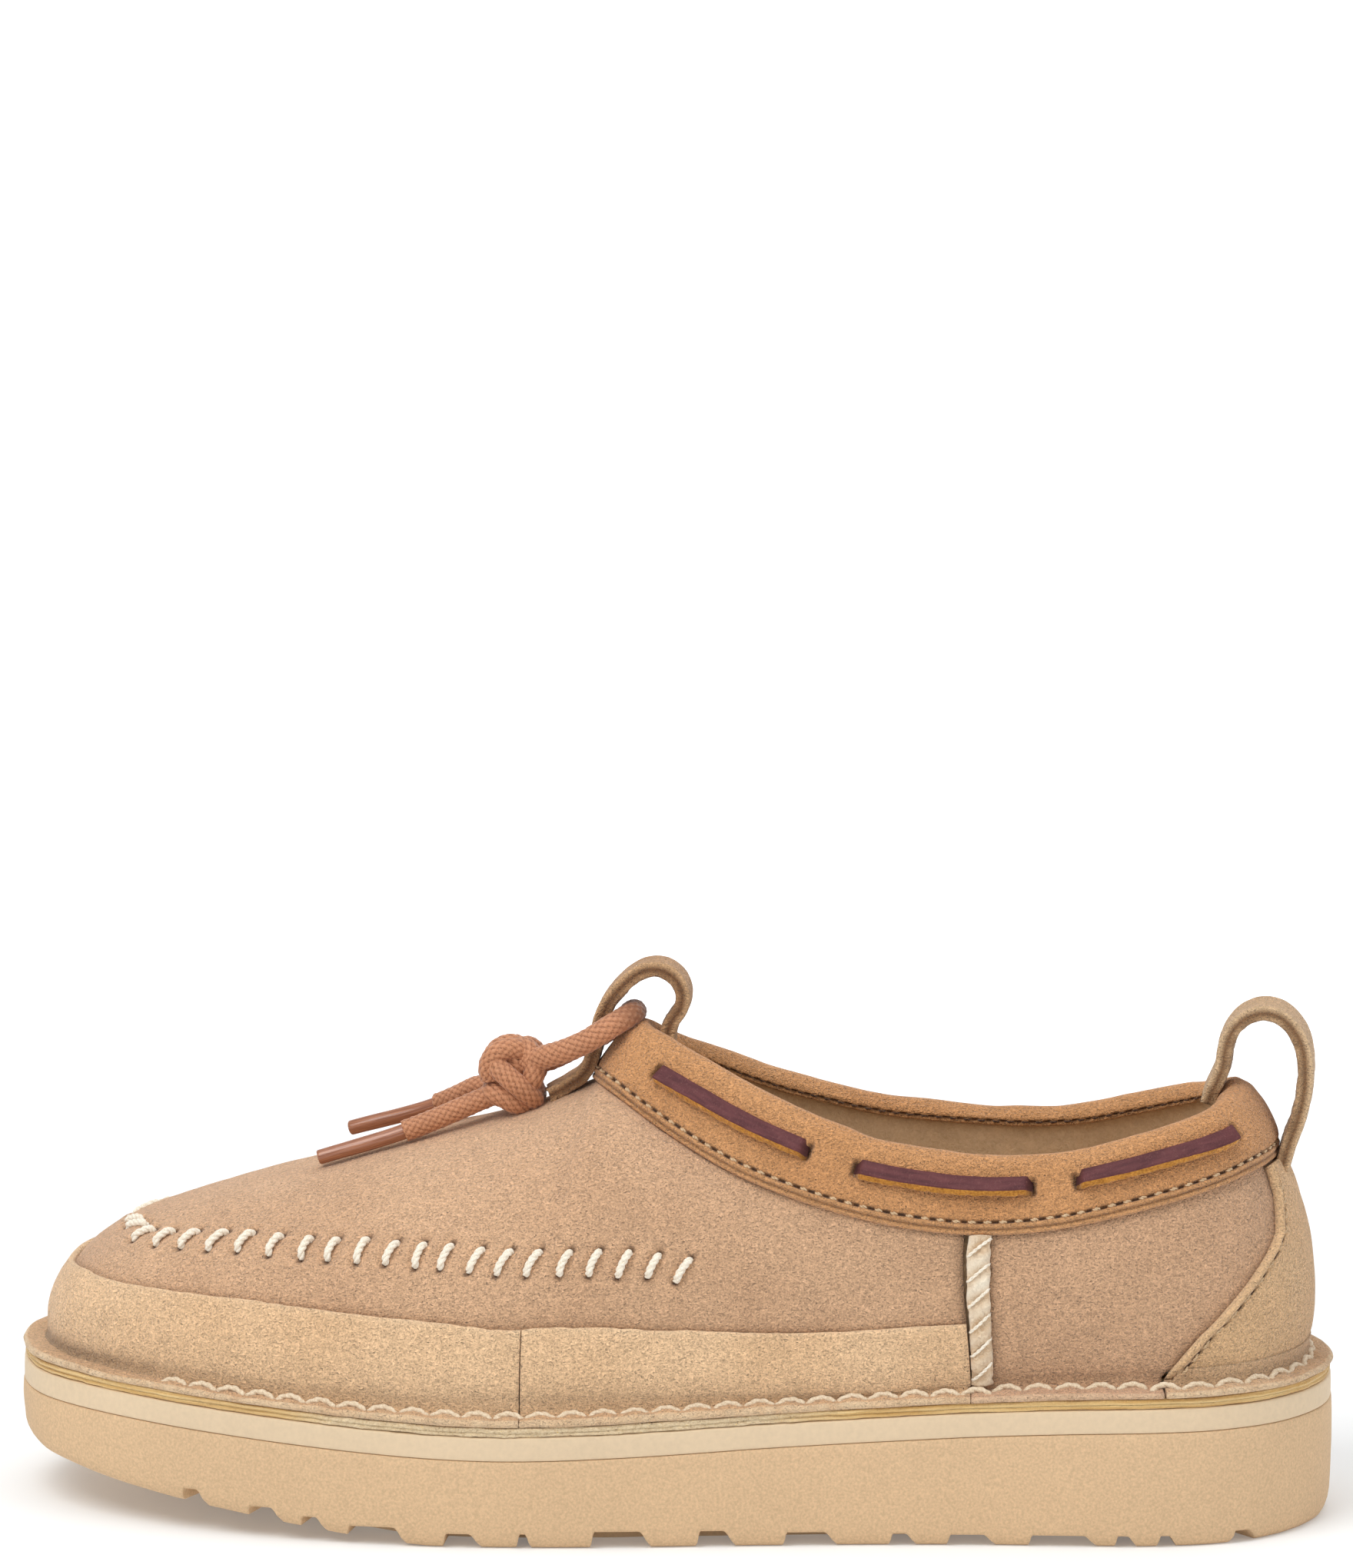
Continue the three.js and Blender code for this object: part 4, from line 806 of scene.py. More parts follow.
# ---------- sole ----------
# hollows in the outsole's lower edge: x at the toe end, x at the heel end, z of the roof
NOTCHES = [
    (-100.5,-95,9.2), (-86,-78.5,6.8), (-74.5,-69,5.4), (-64.5,-52,4.0), (-44,-36,3.0),
    (-28.5,-25.5,3.1), (-13,-.5,3.6), (9,17,3.5), (27,38,3.0), (49,54.5,2.6), (61,71,2.4),
    (78,92,2.4), (96,100.5,2.4), (105,109,2.4), (120.5,126,2.6)]
# extra stations near each notch end, mm along the loop
TOE_END_MARKS = (-1.2,-.5,-.15,.1,.3,.5,.75,1.0,1.4)
HEEL_END_MARKS = (-4.5,-3.9,-3.3,-2.8,-2.3,-1.9,-1.5,-1.1,-.75,-.4,-.1,.2,.6)
GROOVES_X = (-112, -91, -48, -20, 22, 44, 74, 114)

def across(loop, inset, count):
    """Grid from the outer to the inner side of the outline moved in by inset."""
    outer, inner = feather(loop, inset)[:, None], feather(1 - loop, inset)[:, None]
    v = linspace(0, 1, count)[None, :, None]
    return outer*(1 - v) + inner*v

def both(half):
    """Stations on the outer half mirrored round the loop."""
    return r_[half, 1 - half[-2:0:-1]]

def tread(half, count, inset):
    """The middle of the underside, with cross grooves and fine zigzags cut up into it."""
    grid = across(half, inset, count)
    x, y = grid[..., 0], grid[..., 1]
    z = repeat(sole_bottom(outline(half)[:, 0])[:, None], count, 1)
    cut = zeros(z.shape)
    for groove in GROOVES_X:
        cut = maximum(cut, 1.6*smooth(1.6 - np.abs(x - groove - 1.6), -.4, .5)
                      * smooth(np.abs(y), 6, 7)*(1 - smooth(np.abs(y), 27, 29)))
    zigzag = np.abs(((x + 3.5*np.abs(((y/7.0) % 2) - 1))/9.0) % 1.0 - .5)*9.0
    cut = maximum(cut, .8*smooth(1.0 - zigzag, 0.0, .7)
                  * smooth(x, -104, -100)*(1 - smooth(x, 96, 100)))
    cut *= smooth(fold(linspace(0, 1, count))[None], .02, .06)
    return concatenate([grid, (z + cut)[..., None]], -1).reshape(-1, 3)

def build_outsole():
    marks = list(by_length(outline, 0, .5, 1.35))
    for x0, x1, _ in NOTCHES:
        marks += [station(x0) + d/PERIMETER for d in TOE_END_MARKS]
        marks += [station(x1) + d/PERIMETER for d in HEEL_END_MARKS]
    half = np.unique(np.round(clip(marks, 0, .5), 6))
    half = half[r_[True, np.diff(half) > 1.2e-4]]
    half[0], half[-1] = 0.0, .5
    loop = both(half)
    rim, out = outline(loop), out_normal(loop)
    x = rim[:, 0]
    top, bottom = sole_top(x), sole_bottom(x)
    round_up = 3.4*bell(loop, .045, .5) + 1.0*bell(fold(loop), .05)
    wobble = noise(c_[rim, top], 9, 71)
    notch = zeros(len(loop))
    for x0, x1, roof in NOTCHES:
        radius = min(2.6, .42*(x1 - x0))
        toe_end = smooth(x, x0 - .15, x0 + .75)
        heel_end = clip((x1 - x)/radius, 0, 1)
        heel_end = np.sqrt(clip(1 - (1 - heel_end)**2, 0, 1))*.35 + .65*smooth(heel_end, 0, 1)
        notch = maximum(notch, (roof - bottom)*toe_end*heel_end)
    deep = clip(notch/1.4, 0, 1)
    low = bottom + notch
    corner_z = (3.4 + round_up)*(1 - deep) + .8*deep
    corner_in = 2.4*(1 - deep) + .9*deep
    inner, shake = 11.0, .4*wobble*deep
    # section rows (inset, z) from the middle of the top round to the underside
    rows_ = [(1.4, top + .24), (.5, top + .24), (.20, top + .12), (.02, top - .25)]
    for u in linspace(.04, 1, 13):
        rows_.append((.2*u**2 - .10*sin(pi*u), (top - .5)*(1 - u) + (low + corner_z)*u))
    for q in radians([18, 36, 54, 72, 90]):
        rows_.append((.2 + (corner_in - .2)*(1 - cos(q)), low + corner_z*(1 - sin(q))))
    for u in (.25, .5, .75, .95):
        rows_.append((corner_in*(1 - u) + inner*u + shake, low))
    for u in (.12, .5, .88, 1.0):
        rows_.append((inner + .3*u + shake, low*(1 - u) + bottom*u))
    rows_ += [(inner + 1.2, bottom), (inner + 4, bottom), (18.0, bottom)]
    rings = stack([c_[rim - out*np.reshape(inset, (-1, 1)), z] for inset, z in rows_], 1)
    for k in range(2, 22):
        rings[:, k, :2] += out*(.06*noise(rings[:, k], 3.0, 5))[:, None]
    n, m = rings.shape[:2]
    verts, faces = loft(rings)
    faces = faces[~(faces % m == m - 1).all(1)]          # the tread replaces the lower cap
    count = 46
    under = tread(half, count, 18.0)
    faces = vstack([faces, grid_faces(len(half), count, base=len(verts))[:, ::-1]])
    verts = vstack([verts, under])
    row, rest = arange(n*m) % m, zeros(len(under))
    # painted light on the notches' back walls and the underside beside them; painted shade along
    # the top edge where the strip sits on it
    pale = r_[where((row >= 26) & (repeat(notch, m) > .3), .45, 0.0), rest]
    dark = r_[.06*(row < 3), rest]
    mesh("outsole_fine", Piece().add(verts, orient(verts, faces), pale=pale, dark=dark),
         M_SOLE, ("outsole",))

def rim_loop(step):
    loop = both(by_length(outline, 0, .5, step))
    rim = outline(loop)
    return rim, out_normal(loop), sole_top(rim[:, 0])

def build_strip():
    rim, out, top = rim_loop(1.2)
    low, high = STRIP_LOW, STRIP_HIGH
    rings = []
    for inset, z in ((3, low), (.5, low), (.26, low + .10), (.2, low + .32), (.2, 1.3),
                     (.2, 2.1), (.2, 2.9), (.22, 3.7), (.26, high - .3), (.36, high + .05),
                     (.75, high + .2), (3, high + .2)):
        pts = c_[rim - out*inset, top + z]
        pts[:, :2] += out*(.07*noise(pts, 11, 9))[:, None]
        rings.append(pts)
    mesh("midsole_strip_fine", Piece().add(*loft(stack(rings, 1))), M_STRIP,
         ("midsole_strip",))

def build_welt():
    rim, out, top = rim_loop(.5)
    length = run(rim)
    low, high = WELT_LOW, WELT_HIGH
    woolly = smooth(rim[:, 0], -80, -64)*(1 - smooth(rim[:, 0], 18, 44))
    rings, uvs = [], []
    for inset, z in ((3, low), (1.0, low), (.75, low + .1), (.55, low + .3), (.5, low + .55),
                     (.72, low + .78), (.8, low + .92), (.5, low + 1.05), (.42, low + 1.3),
                     (.46, low + 1.62), (.6, high + .12), (1.0, high + .25), (3, high + .25)):
        pts = c_[rim - out*inset, top + z]
        if inset < 2:
            fuzz = ((.16 + .16*woolly)*noise(pts*(1, 1, 3), 2.6, 11)
                    + (.10 + .16*woolly)*noise(pts*(1, 1, 1.6), 1.0, 12))
            pts[:, :2] += out*(fuzz + .12*woolly)[:, None]
            pts[:, 2] += .10*noise(pts, 4.0, 13)
        rings.append(pts)
        uvs.append(c_[length, length*0 + (z - low)])
    verts, faces = loft(stack(rings, 1))
    piece = Piece().add(verts, faces, uv=stack(uvs, 1).reshape(-1, 2),
                        pale=repeat(woolly, len(rings)))
    mesh("welt_layer_fine", piece, M_WELT, ("welt_layer",))

def build_footbed():
    half = by_length(outline, 0, .5, 1.1)
    count = steps(70)
    grid = across(half, 13.2, count)
    base = repeat((sole_top(outline(half)[:, 0]) + FLANGE_BOTTOM)[:, None], count, 1)
    wide = norm(grid[:, 0] - grid[:, -1])[:, None]
    near = clip(fold(linspace(0, 1, count))[None]*wide/3.0, 0, 1)      # 0 at the side edges
    top = base + 6.6 - 1.9*(1 - np.sqrt(clip(1 - (1 - near)**2, 0, 1)))
    upper = concatenate([grid, top[..., None]], -1)
    flat = upper.reshape(-1, 3)
    pile = .45*noise(flat, 3.2, 21) + .35*noise(flat, 1.6, 22) + .5*noise(flat, 14, 23)
    upper[..., 2] += pile.reshape(near.shape)*clip(near + .15, 0, 1)
    lower = concatenate([grid, (base + 2.0)[..., None]], -1)
    mesh("footbed_pile", Piece().add(*shell(upper, lower, ones(near.shape))), M_FOOTBED,
         ("footbed",))

# ---------- vamp ----------
def layout(dome, dome_rise, side, side_rise):
    """Welded sheet: the dome over the toes, then a band up the collar on each side."""
    loops, rises, faces, base = [], [], [], 0
    for at, up in ((dome, dome_rise), (side, side_rise), (1 - side[::-1], side_rise)):
        loops.append(repeat(at, len(up)))
        rises.append(tile(up, len(at)))
        faces.append(grid_faces(len(at), len(up), base=base))
        base += len(at)*len(up)
    loop, rise = concatenate(loops), concatenate(rises)
    pts = skin(loop, rise)
    idx, tris, _ = weld(pts, vstack(faces))
    return loop[idx], rise[idx], pts[idx], tris

def side_stations(ends, spacing):
    """Stations between the ends, each stretch with its own spacing in mm at rise 0.35."""
    parts = [by_length(lambda u: skin(u, np.full_like(u, .35)), a, b, gap)[:-1]
             for a, b, gap in zip(ends[:-1], ends[1:], spacing)]
    return concatenate(parts + [[ends[-1]]])

def whip_ends():
    return [vstack([table, c_[1 - table[:, 0], table[:, 1]]]) for table in (WHIP_LOW, WHIP_HIGH)]

def build_vamp():
    side = side_stations([0.0, SEAM_START, .285, VAMP_END], [.68, .68, 1.2])
    dome_rise = r_[linspace(0, .15, 5)[:-1], linspace(.15, .62, steps(58))[:-1],
                   linspace(.62, 1, steps(40))]
    loop, rise, pts, faces = layout(r_[-side[::-1], side[1:]], dome_rise,
                                    side[side >= SEAM_START - 1e-9],
                                    array([1, 1.05, 1.12, 1.2, 1.28]))
    nrm = skin_normal(loop, rise)
    lift, dark = soft(pts), zeros(len(loop))
    near = np.flatnonzero((rise > .2) & (rise < .66))
    # each whip stitch pulls the suede in at its holes and along its length, with painted shade in
    # each hole
    for low, high in zip(*[skin(ends[:, 0], ends[:, 1]) for ends in whip_ends()]):
        pick = near[((pts[near] - (low + high)/2)**2).sum(1) < 49]
        local = pts[pick]
        aim = unit(high - low)
        for end, sign in ((low, -1), (high, 1)):
            dist = norm(local - end - aim*sign*.25)
            lift[pick] -= .55*bell(dist, 1.15)
            dark[pick] = maximum(dark[pick], .95*exp(-(dist/.78)**4))
        part = clip((local - low) @ aim/norm(high - low), 0, 1)
        dist = norm(local - low - (high - low)*part[:, None])
        lift[pick] -= .16*bell(dist, 1.3)
        lift[pick] += .12*bell(dist, 1.2, 2.6)
    # painted shade along the rand's top edge and along the side seams, and a little darker towards
    # the heel
    from_toe = fold(loop)
    rand = curve(RAND_TOP, clip(from_toe, 0, .3535))
    dark = maximum(dark, .32*exp(-clip((rise - rand)*75, 0, None)/.9))
    dark = maximum(dark, .35*smooth(from_toe, VAMP_END - .0035, VAMP_END))
    dark = dark + .055*smooth(pts[:, 0], -45, 45)
    verts, faces = join_shell(pts + nrm*lift[:, None], pts - nrm*SUEDE, faces)
    mesh("vamp_suede", Piece().add(verts, faces, dark=r_[dark, dark]), M_VAMP,
         ("vamp",))

def build_whip():
    piece = Piece()
    u = linspace(0, 1, 26)
    outer = len(WHIP_LOW)
    for i, (low, high) in enumerate(zip(*whip_ends())):
        loop, rise = (low[k] + (high[k] - low[k])*u for k in (0, 1))
        pts, nrm = skin(loop, rise), skin_normal(loop, rise)
        sunk = .68 if outer <= i < outer + 5 else 0.0    # the first inner-side stitches
        lift = -.75 - sunk + 1.38*smooth(fold(u), 0, .2) + .12*sin(pi*u)
        side = unit(np.cross(nrm, pts[-1] - pts[0]))
        bow = (.32 + .2*jitter(i, 4))*(1 if i < outer else -1)
        path = pts + nrm*lift[:, None] + side*(bow*sin(pi*u))[:, None]
        twine(piece, path, nrm, .80, pitch=4.2, sides=8, plies=3, phase=i*1.7,
              spread=.42, fat=.64)
    mesh("whip_stitches", piece, M_THREAD_CREAM, ("vamp_thread",))

# ---------- turned-out pieces: rands, quarters, counter ----------
RIM, FLANGE, BEND, WALL, WALL_TOP = range(5)     # kinds of row, from the turned edge up

def turned(loop, top, count, outer, inner, tip=.62, belly=0.0):
    """A piece from its turned-out edge up the wall to rise top, rounded there by tip:
    outer and inner grids, fullness and kind of each row, rises."""
    out, foot, rim = out_normal(loop), feather(loop), outline(loop)
    at = c_[rim, sole_top(rim[:, 0])]
    half = (FLANGE_TOP - FLANGE_BOTTOM)/2
    wide = flange_width(loop) + .05 + .30*noise(at, 14, 31) + .16*noise(at, 4.5, 32)
    lift = .22*noise(at, 18, 33) + .14*noise(at, 6, 34)
    side = fold(loop)
    toe = 1 - smooth(side, .045, .115)
    hump = sin(pi*edge_phase(loop))**2*(1 - toe)
    bend_in = 2.2 - 1.1*toe - .75*belly*(1 - toe)
    bend_rise = .072 - .034*toe - .034*belly*(1 - toe)
    top = broadcast_to(top, loop.shape)
    bulge = belly*(1 - .65*toe)*(1 - smooth(side, VAMP_END - .030, VAMP_END - .004))
    def swell(rise):
        return bulge*smooth(rise, 0.0, .034)*(1 - smooth(rise/minimum(top, .34), .34, .98))
    outs, ins, full, kind, rises = [], [], [], [], []
    def add(outside, inside, fullness, row_kind, rise):
        for store, value in zip((outs, ins, full, kind, rises),
                                (outside, inside, fullness, row_kind, rise)):
            store.append(value)
    def flange(dist, fullness, row_kind):
        part = (dist - outer)/(wide - outer)
        xy = foot + out*dist[:, None]
        z = sole_top(xy[:, 0])
        up = (FLANGE_TOP - .50*part**2 + lift*part + .34*hump*bell(dist - outer, 1.3, 2.3)
              - .16*(1 - hump)*(1 - toe)*bell(dist - outer, 1.2, 2.0))
        add(c_[xy, z + up], c_[xy, z + FLANGE_BOTTOM + .6*lift*part], fullness, row_kind,
            np.full(len(loop), -1.0))
    for q in EDGE:
        flange(wide - half*(1 - cos(q)), sin(q), RIM)
    for u in linspace(0, 1, 6):
        flange((wide - half)*(1 - u) + (outer + bend_in)*u, 1.0, FLANGE)
    z = sole_top(foot[:, 0])
    bends = ((outs[-1], c_[foot + out*(outer + .15), z + FLANGE_TOP - .15],
              off_skin(loop, bend_rise, outer + swell(bend_rise))),
             (ins[-1], c_[foot + out*inner, z + FLANGE_BOTTOM],
              off_skin(loop, bend_rise, inner)))
    for u in (.2, .4, .6, .8):
        add(*[(1 - u)**2*a + 2*u*(1 - u)*b + u*u*c for a, b, c in bends], 1.0, BEND,
            zeros(len(loop)))
    scale = norm(skin(loop, top*.5 + .02) - skin(loop, top*.5 - .02))/.04
    wall_rise, wall_full = rows(bend_rise, top, count, scale, 0, tip)
    for rise, fullness in zip(wall_rise.T, wall_full):
        add(off_skin(loop, rise, outer + swell(rise)), off_skin(loop, rise, inner), fullness,
            WALL if fullness == 1 else WALL_TOP, rise)
    outside, inside, full = stack(outs, 1), stack(ins, 1), array(full)
    uneven = soft(outside.reshape(-1, 3)).reshape(outside.shape[:2])*full[None]
    outside = outside + unit(outside - inside + 1e-9)*uneven[..., None]
    return outside, inside, full, array(kind), stack(rises, 1)

def turned_piece(name, loop, loop_full, top, count, outer, inner, mats,
                 tip=.62, keep=None, shade=None, belly=0.0):
    outside, inside, full, kind, rise = turned(loop, top, count, outer, inner, tip, belly)
    n, m = outside.shape[:2]
    faces = grid_faces(n, m)
    if keep:
        faces = faces[keep(loop[faces//m], kind[faces % m]).all(1)]
    verts, faces = shell(outside, inside, loop_full[:, None]*full[None], faces)
    mat = where(kind[faces % m].min(1) < BEND, 1, 0)
    at, kinds = repeat(loop, m), tile(kind, n)
    rise, pts = rise.ravel(), outside.reshape(-1, 3)
    pale = zeros(n*m)
    if tip:
        below = clip((repeat(broadcast_to(top, loop.shape), m) - rise)*70, 0, 99)
        pale = where(kinds >= WALL, .45*exp(-below/.8), 0)*(.75 + .5*noise(pts, 2.0, 41))
    pale = where(kinds == RIM, .55 + .25*noise(pts, 1.6, 42), pale)
    # painted shade in the crease where the wall meets the turned-out edge, deeper at the toe
    toe = 1 - smooth(fold(at), .05, .11)
    above = clip(rise - (.038 if belly else .073), 0, 1)
    dark = (where(kinds == BEND, .16 + .36*toe, 0.0)
            + where(kinds == WALL, (.22 + .10*toe)*exp(-above*70/1.3), 0))
    if shade:
        dark = shade(at, rise, kinds, dark)
    piece = Piece().add(verts, faces, dark=r_[dark, dark], pale=clip(r_[pale, pale], 0, 1),
                        mat=mat)
    mesh(name + "_suede", piece, mats, (name,))

def rand_top(loop):
    pts = c_[cos(TAU*fold(loop))*90, sin(TAU*fold(loop))*90, loop*0]
    pts[:, 1] = sin(TAU*mod(loop, 1))*90
    turn = mod(loop, 1)
    side = where(turn > .5, 1 - turn, turn)
    pts = c_[cos(TAU*side)*90, sin(TAU*side)*90, side*0] if False else c_[
        cos(TAU*turn)*90, sin(TAU*turn)*90, turn*0]
    return (curve(RAND_TOP, clip(side, 0, .3535)) + .0022*noise(pts, 4, 51)
            + .0015*noise(pts, 1.5, 52))

def build_rands():
    joint = RAND_JOINT + .00015
    for name, start, end in (("toe_rand", -RAND_JOINT, RAND_JOINT),
                             ("rand_lateral", joint, VAMP_END),
                             ("rand_medial", 1 - VAMP_END, 1 - joint)):
        loop, full = end_rows(start, end, .85, .13, .13)
        turned_piece(name, loop, full, rand_top(loop), steps(22), OVER_OUT - .15, -.25,
                     [M_RAND, M_FLANGE], belly=1.0)

def build_quarters():
    def keep(loop, kind):
        side = fold(loop)
        return (((kind >= WALL) & (side > QUARTER_START - .0012))
                | ((kind < WALL) & (side < TURN_END + .0015)))
    def shade(loop, rise, kind, dark):
        """Darker with painted shade along the counter and along the side seam."""
        side = fold(loop)
        gap = (curve(COUNTER, clip(rise, 0, 1)) - side)*PERIMETER
        seam = clip(side - QUARTER_START, 0, 1)*PERIMETER
        dark = where(kind >= WALL, maximum(dark, .34*exp(-clip(gap, 0, 99)/.9)), dark)
        return maximum(dark, where(kind >= WALL, .38*exp(-seam/.7), 0))
    # the turned edge reaches forward under the side seam to the rand
    front, front_full = end_rows(VAMP_END + .0001, QUARTER_START - .0008, .8, .1, 0)
    main, main_full = end_rows(QUARTER_START, .4995, .95, 0.0, 0)
    loop, full = r_[front, main], r_[front_full, main_full]
    for name, at in (("quarter_lateral", loop), ("quarter_medial", 1 - loop)):
        turned_piece(name, at, full, 1.28, steps(56), 0.0, -SUEDE, [M_QUARTER, M_FLANGE_REAR],
                     tip=0, keep=keep, shade=shade)

PANEL_HEIGHT = 46.5                         # of the counter, for one unit of rise
COUNTER_PITCH, COUNTER_INSET = 3.0, 2.55    # of its stitches

def build_counter():
    # turned-out edge round the heel
    loop, loop_full = end_rows(.4146, 1 - .4146, .85, .1, .1)
    outside, inside, full, kind, _ = turned(loop, .10, 3, OVER_OUT - .05, OVER_IN - .3, 0)
    n, m = outside.shape[:2]
    faces = grid_faces(n, m)
    hidden = (kind[faces % m] >= WALL) & (fold(loop)[faces//m] < .4185)
    verts, faces = shell(outside, inside, loop_full[:, None]*full[None], faces[~hidden.any(1)])
    kinds = tile(kind, n)
    pale = where(kinds == RIM, .55 + .25*noise(outside.reshape(-1, 3), 1.6, 42), .12)
    # painted shade in the crease above the turned-out edge
    dark = where(kinds == BEND, .18, 0.0)
    piece = Piece().add(verts, faces, dark=r_[dark, dark], pale=r_[pale, pale], mat=1)
    # panel, with a border 5.2 mm wide at each front edge
    rise = linspace(.035, .985, steps(64))
    start = interp(rise, COUNTER[:, 0], COUNTER[:, 1])
    scale, border = PERIMETER*.93, 5.2
    inset = r_[.7*(1 - cos(EDGE)), linspace(.7, border, steps(14))]
    inset_full = r_[sin(EDGE), ones(len(inset) - len(EDGE))]
    a, b = start + border/scale, 1 - start - border/scale
    middle = [a*(1 - u) + b*u for u in linspace(0, 1, steps(64))[1:-1]]
    loop = stack([start + x/scale for x in inset] + middle
                 + [1 - start - x/scale for x in inset[::-1]], 0)
    full = r_[inset_full, ones(len(middle)), inset_full[::-1]]
    rises = repeat(rise[None], len(loop), 0)
    dist = minimum(loop - start[None], 1 - start[None] - loop)*scale
    roll = .55*bell(dist, .85, 1.0) - .34*bell(dist, .4, COUNTER_INSET)
    pts, nrm = skin(loop, rises), skin_normal(loop, rises)
    ease = smooth(rises, .03, .15).ravel()
    height = (OVER_OUT - .05)*(.55 + .45*ease) + roll.ravel()*(.25 + .75*ease) + soft(pts)
    verts, faces = shell((pts + nrm*height[:, None]).reshape(*loop.shape, 3),
                         (pts + nrm*(OVER_IN - .4)).reshape(*loop.shape, 3),
                         repeat(full[:, None], len(rise), 1))
    # painted shade in the stitch holes, along the stitch line and at the panel's foot
    shade_and_seam = ((np.abs(dist - COUNTER_INSET) < .42)
            & (sin(TAU*(rises*PANEL_HEIGHT)/COUNTER_PITCH) < -.15))
    dark = (where(shade_and_seam, .75, 0.0) + .3*bell(dist, .35, COUNTER_INSET)
            + .25*exp(-(rise - .06)*46/1.2)[None]).ravel()
    pale = (.25*bell(dist, 1.0)).ravel()
    piece.add(verts, faces, dark=clip(r_[dark, dark], 0, 1), pale=r_[pale, pale])
    mesh("heel_counter_suede", piece, [M_COUNTER, M_FLANGE],
         ("heel_counter_cover",))
    stitches = Piece()
    u = linspace(0, 1, 12)
    for mirrored in (False, True):
        for i in range(int(PANEL_HEIGHT*.9/COUNTER_PITCH)):
            rise = .075 + i*COUNTER_PITCH/PANEL_HEIGHT + u*1.75/PANEL_HEIGHT
            loop = interp(rise, COUNTER[:, 0], COUNTER[:, 1]) + COUNTER_INSET/scale
            if mirrored:
                loop = 1 - loop
            twine(stitches, off_skin(loop, rise, 1.15 + .60*smooth(fold(u), 0, .3)),
                  skin_normal(loop, rise), .30, pitch=1.8, sides=6)
    mesh("counter_stitches", stitches, M_THREAD_TAN)

def build_edge_stitches():
    piece = Piece()
    u = linspace(0, 1, 22)
    arch = sin(pi*u)
    for i in range(EDGE_STITCHES):
        loop = interp((i + .03 + .94*u)/EDGE_STITCHES*PERIMETER, LOOP_LENGTH, LOOP_AT)
        side = fold(np.median(loop))
        toe = 1 - smooth(side, .072, .098)
        rear = (smooth(side, QUARTER_START - .004, QUARTER_START)
                * (1 - smooth(side, TURN_END - .004, TURN_END)))
        out = out_normal(loop)
        xy = feather(loop) + out*(OVER_OUT*(1 - rear) + 1.75 - .75*arch - .5*toe)[:, None]
        z = (sole_top(xy[:, 0]) + FLANGE_TOP - .95 + (1.40 + .2*jitter(i, 9))*arch**.7
             - 2.2*toe)
        twine(piece, c_[xy, z], c_[out*.6, np.full(len(u), .8)], .66, pitch=3.8, sides=8,
              phase=i*.9, spread=.26, fat=.80)
    mesh("edge_stitches", piece, M_THREAD_BEIGE, ("flange_thread",))

def build_side_seam(name, start, sign):
    """A fuzzy roll up the side of the upper, wrapped by threads."""
    def frame_at(rise):
        loop = start + sign*.0009*rise
        across_seam = unit(skin(loop + 5e-4, rise) - skin(loop - 5e-4, rise))
        return skin(loop, rise), skin_normal(loop, rise), across_seam
    rise = linspace(.045, .995, steps(110))
    mid, nrm, side = frame_at(rise)
    length = run(mid)
    q, pitch = angles(30)[None], 5.2
    wave = .34*cos(TAU*(length[:, None] - 2.2*cos(q)*.6)/pitch)
    wide = 2.15 + .35*rise + .22*noise(mid, 5, 61)
    rings = ring_points(mid, side, nrm, wide[:, None]*cos(q), .55 + (1.15 + wave)*sin(q))
    flat = rings.reshape(-1, 3)
    fuzz = (.26*noise(flat, 1.7, 62) + .17*noise(flat, .9, 63)).reshape(wave.shape)
    radial = side[:, None]*cos(q)[..., None] + nrm[:, None]*sin(q)[..., None]
    rings = rings + radial*fuzz[..., None]
    # paler on the ridges of the twist, a painted highlight, and in random patches; painted shade
    # on the roll's underside
    pale = clip(.15 + .45*noise(rings.reshape(-1, 3), 4, 64) + .8*wave.ravel(), 0, 1)
    dark = tile(.30*(sin(q[0]) < .15), len(rise))
    piece = Piece().add(*sweep(rings), pale=r_[pale, .3, .3], dark=r_[dark, 0, 0])
    mesh(name + "_welt", piece, M_SEAM, (name,))
    threads = Piece()
    u = linspace(-1, 1, 20)
    for i in range(int(length[-1]/pitch)):
        at = interp(.9 + i*pitch + (u + 1)*2.0, length, rise)
        mid, nrm, side = frame_at(at)
        height = .35 + 1.42*np.sqrt(clip(1 - u**2, 0, 1)) - .5*smooth(np.abs(u), .9, 1)
        path = mid + side*(u*(2.2 + .3*at))[:, None]*sign + nrm*height[:, None]
        twine(threads, path, nrm, .36, pitch=2.6, sides=7, phase=i, spread=.38, fat=.66)
    mesh(name + "_threads", threads, M_THREAD_CREAM)

# ---------- collar ----------
# closed section: offset outward, share of the band's height, extra height
COLLAR_RING = array([
    (.45,0,.25), (.75,0,-.15), (1.25,0,0), (1.5,0,.45), (1.42,0,.95), (1.65,0,1.15),
    (2.05,0,1.5), (2.1,0,2.0), (1.72,0,2.45), (2.0,0,3.0), (2.15,0,4.2), (2.1,.35,1.5),
    (2.05,.6,0), (1.95,1,-3.6), (1.9,1,-2.0), (1.45,1,-.6), (.5,1,.85), (-1.2,1,1.45),
    (-3.0,1,1.15), (-4.0,1,.65), (-4.45,1,.10), (-4.35,1,-.30), (-4.65,1,-.55), (-4.8,1,-.95),
    (-4.5,1,-1.3), (-4.05,1,-1.2), (-3.85,1,-.95), (-3.3,1,-.5), (-1.6,1,.1), (-.2,1,-1.0),
    (.4,1,-2.6), (.5,.5,0), (.4,0,2.0)])
LOW_STITCH, TOP_STITCH = 2.45, .3           # above the seam, below the top
THONG_RUNS = [(.073, .178), (.204, .291), (.312, .422)]    # turns where the thong shows
THONG_RUNS += [(1 - b, 1 - a) for a, b in THONG_RUNS]
THONG_RISE = .60                            # share of the band's height

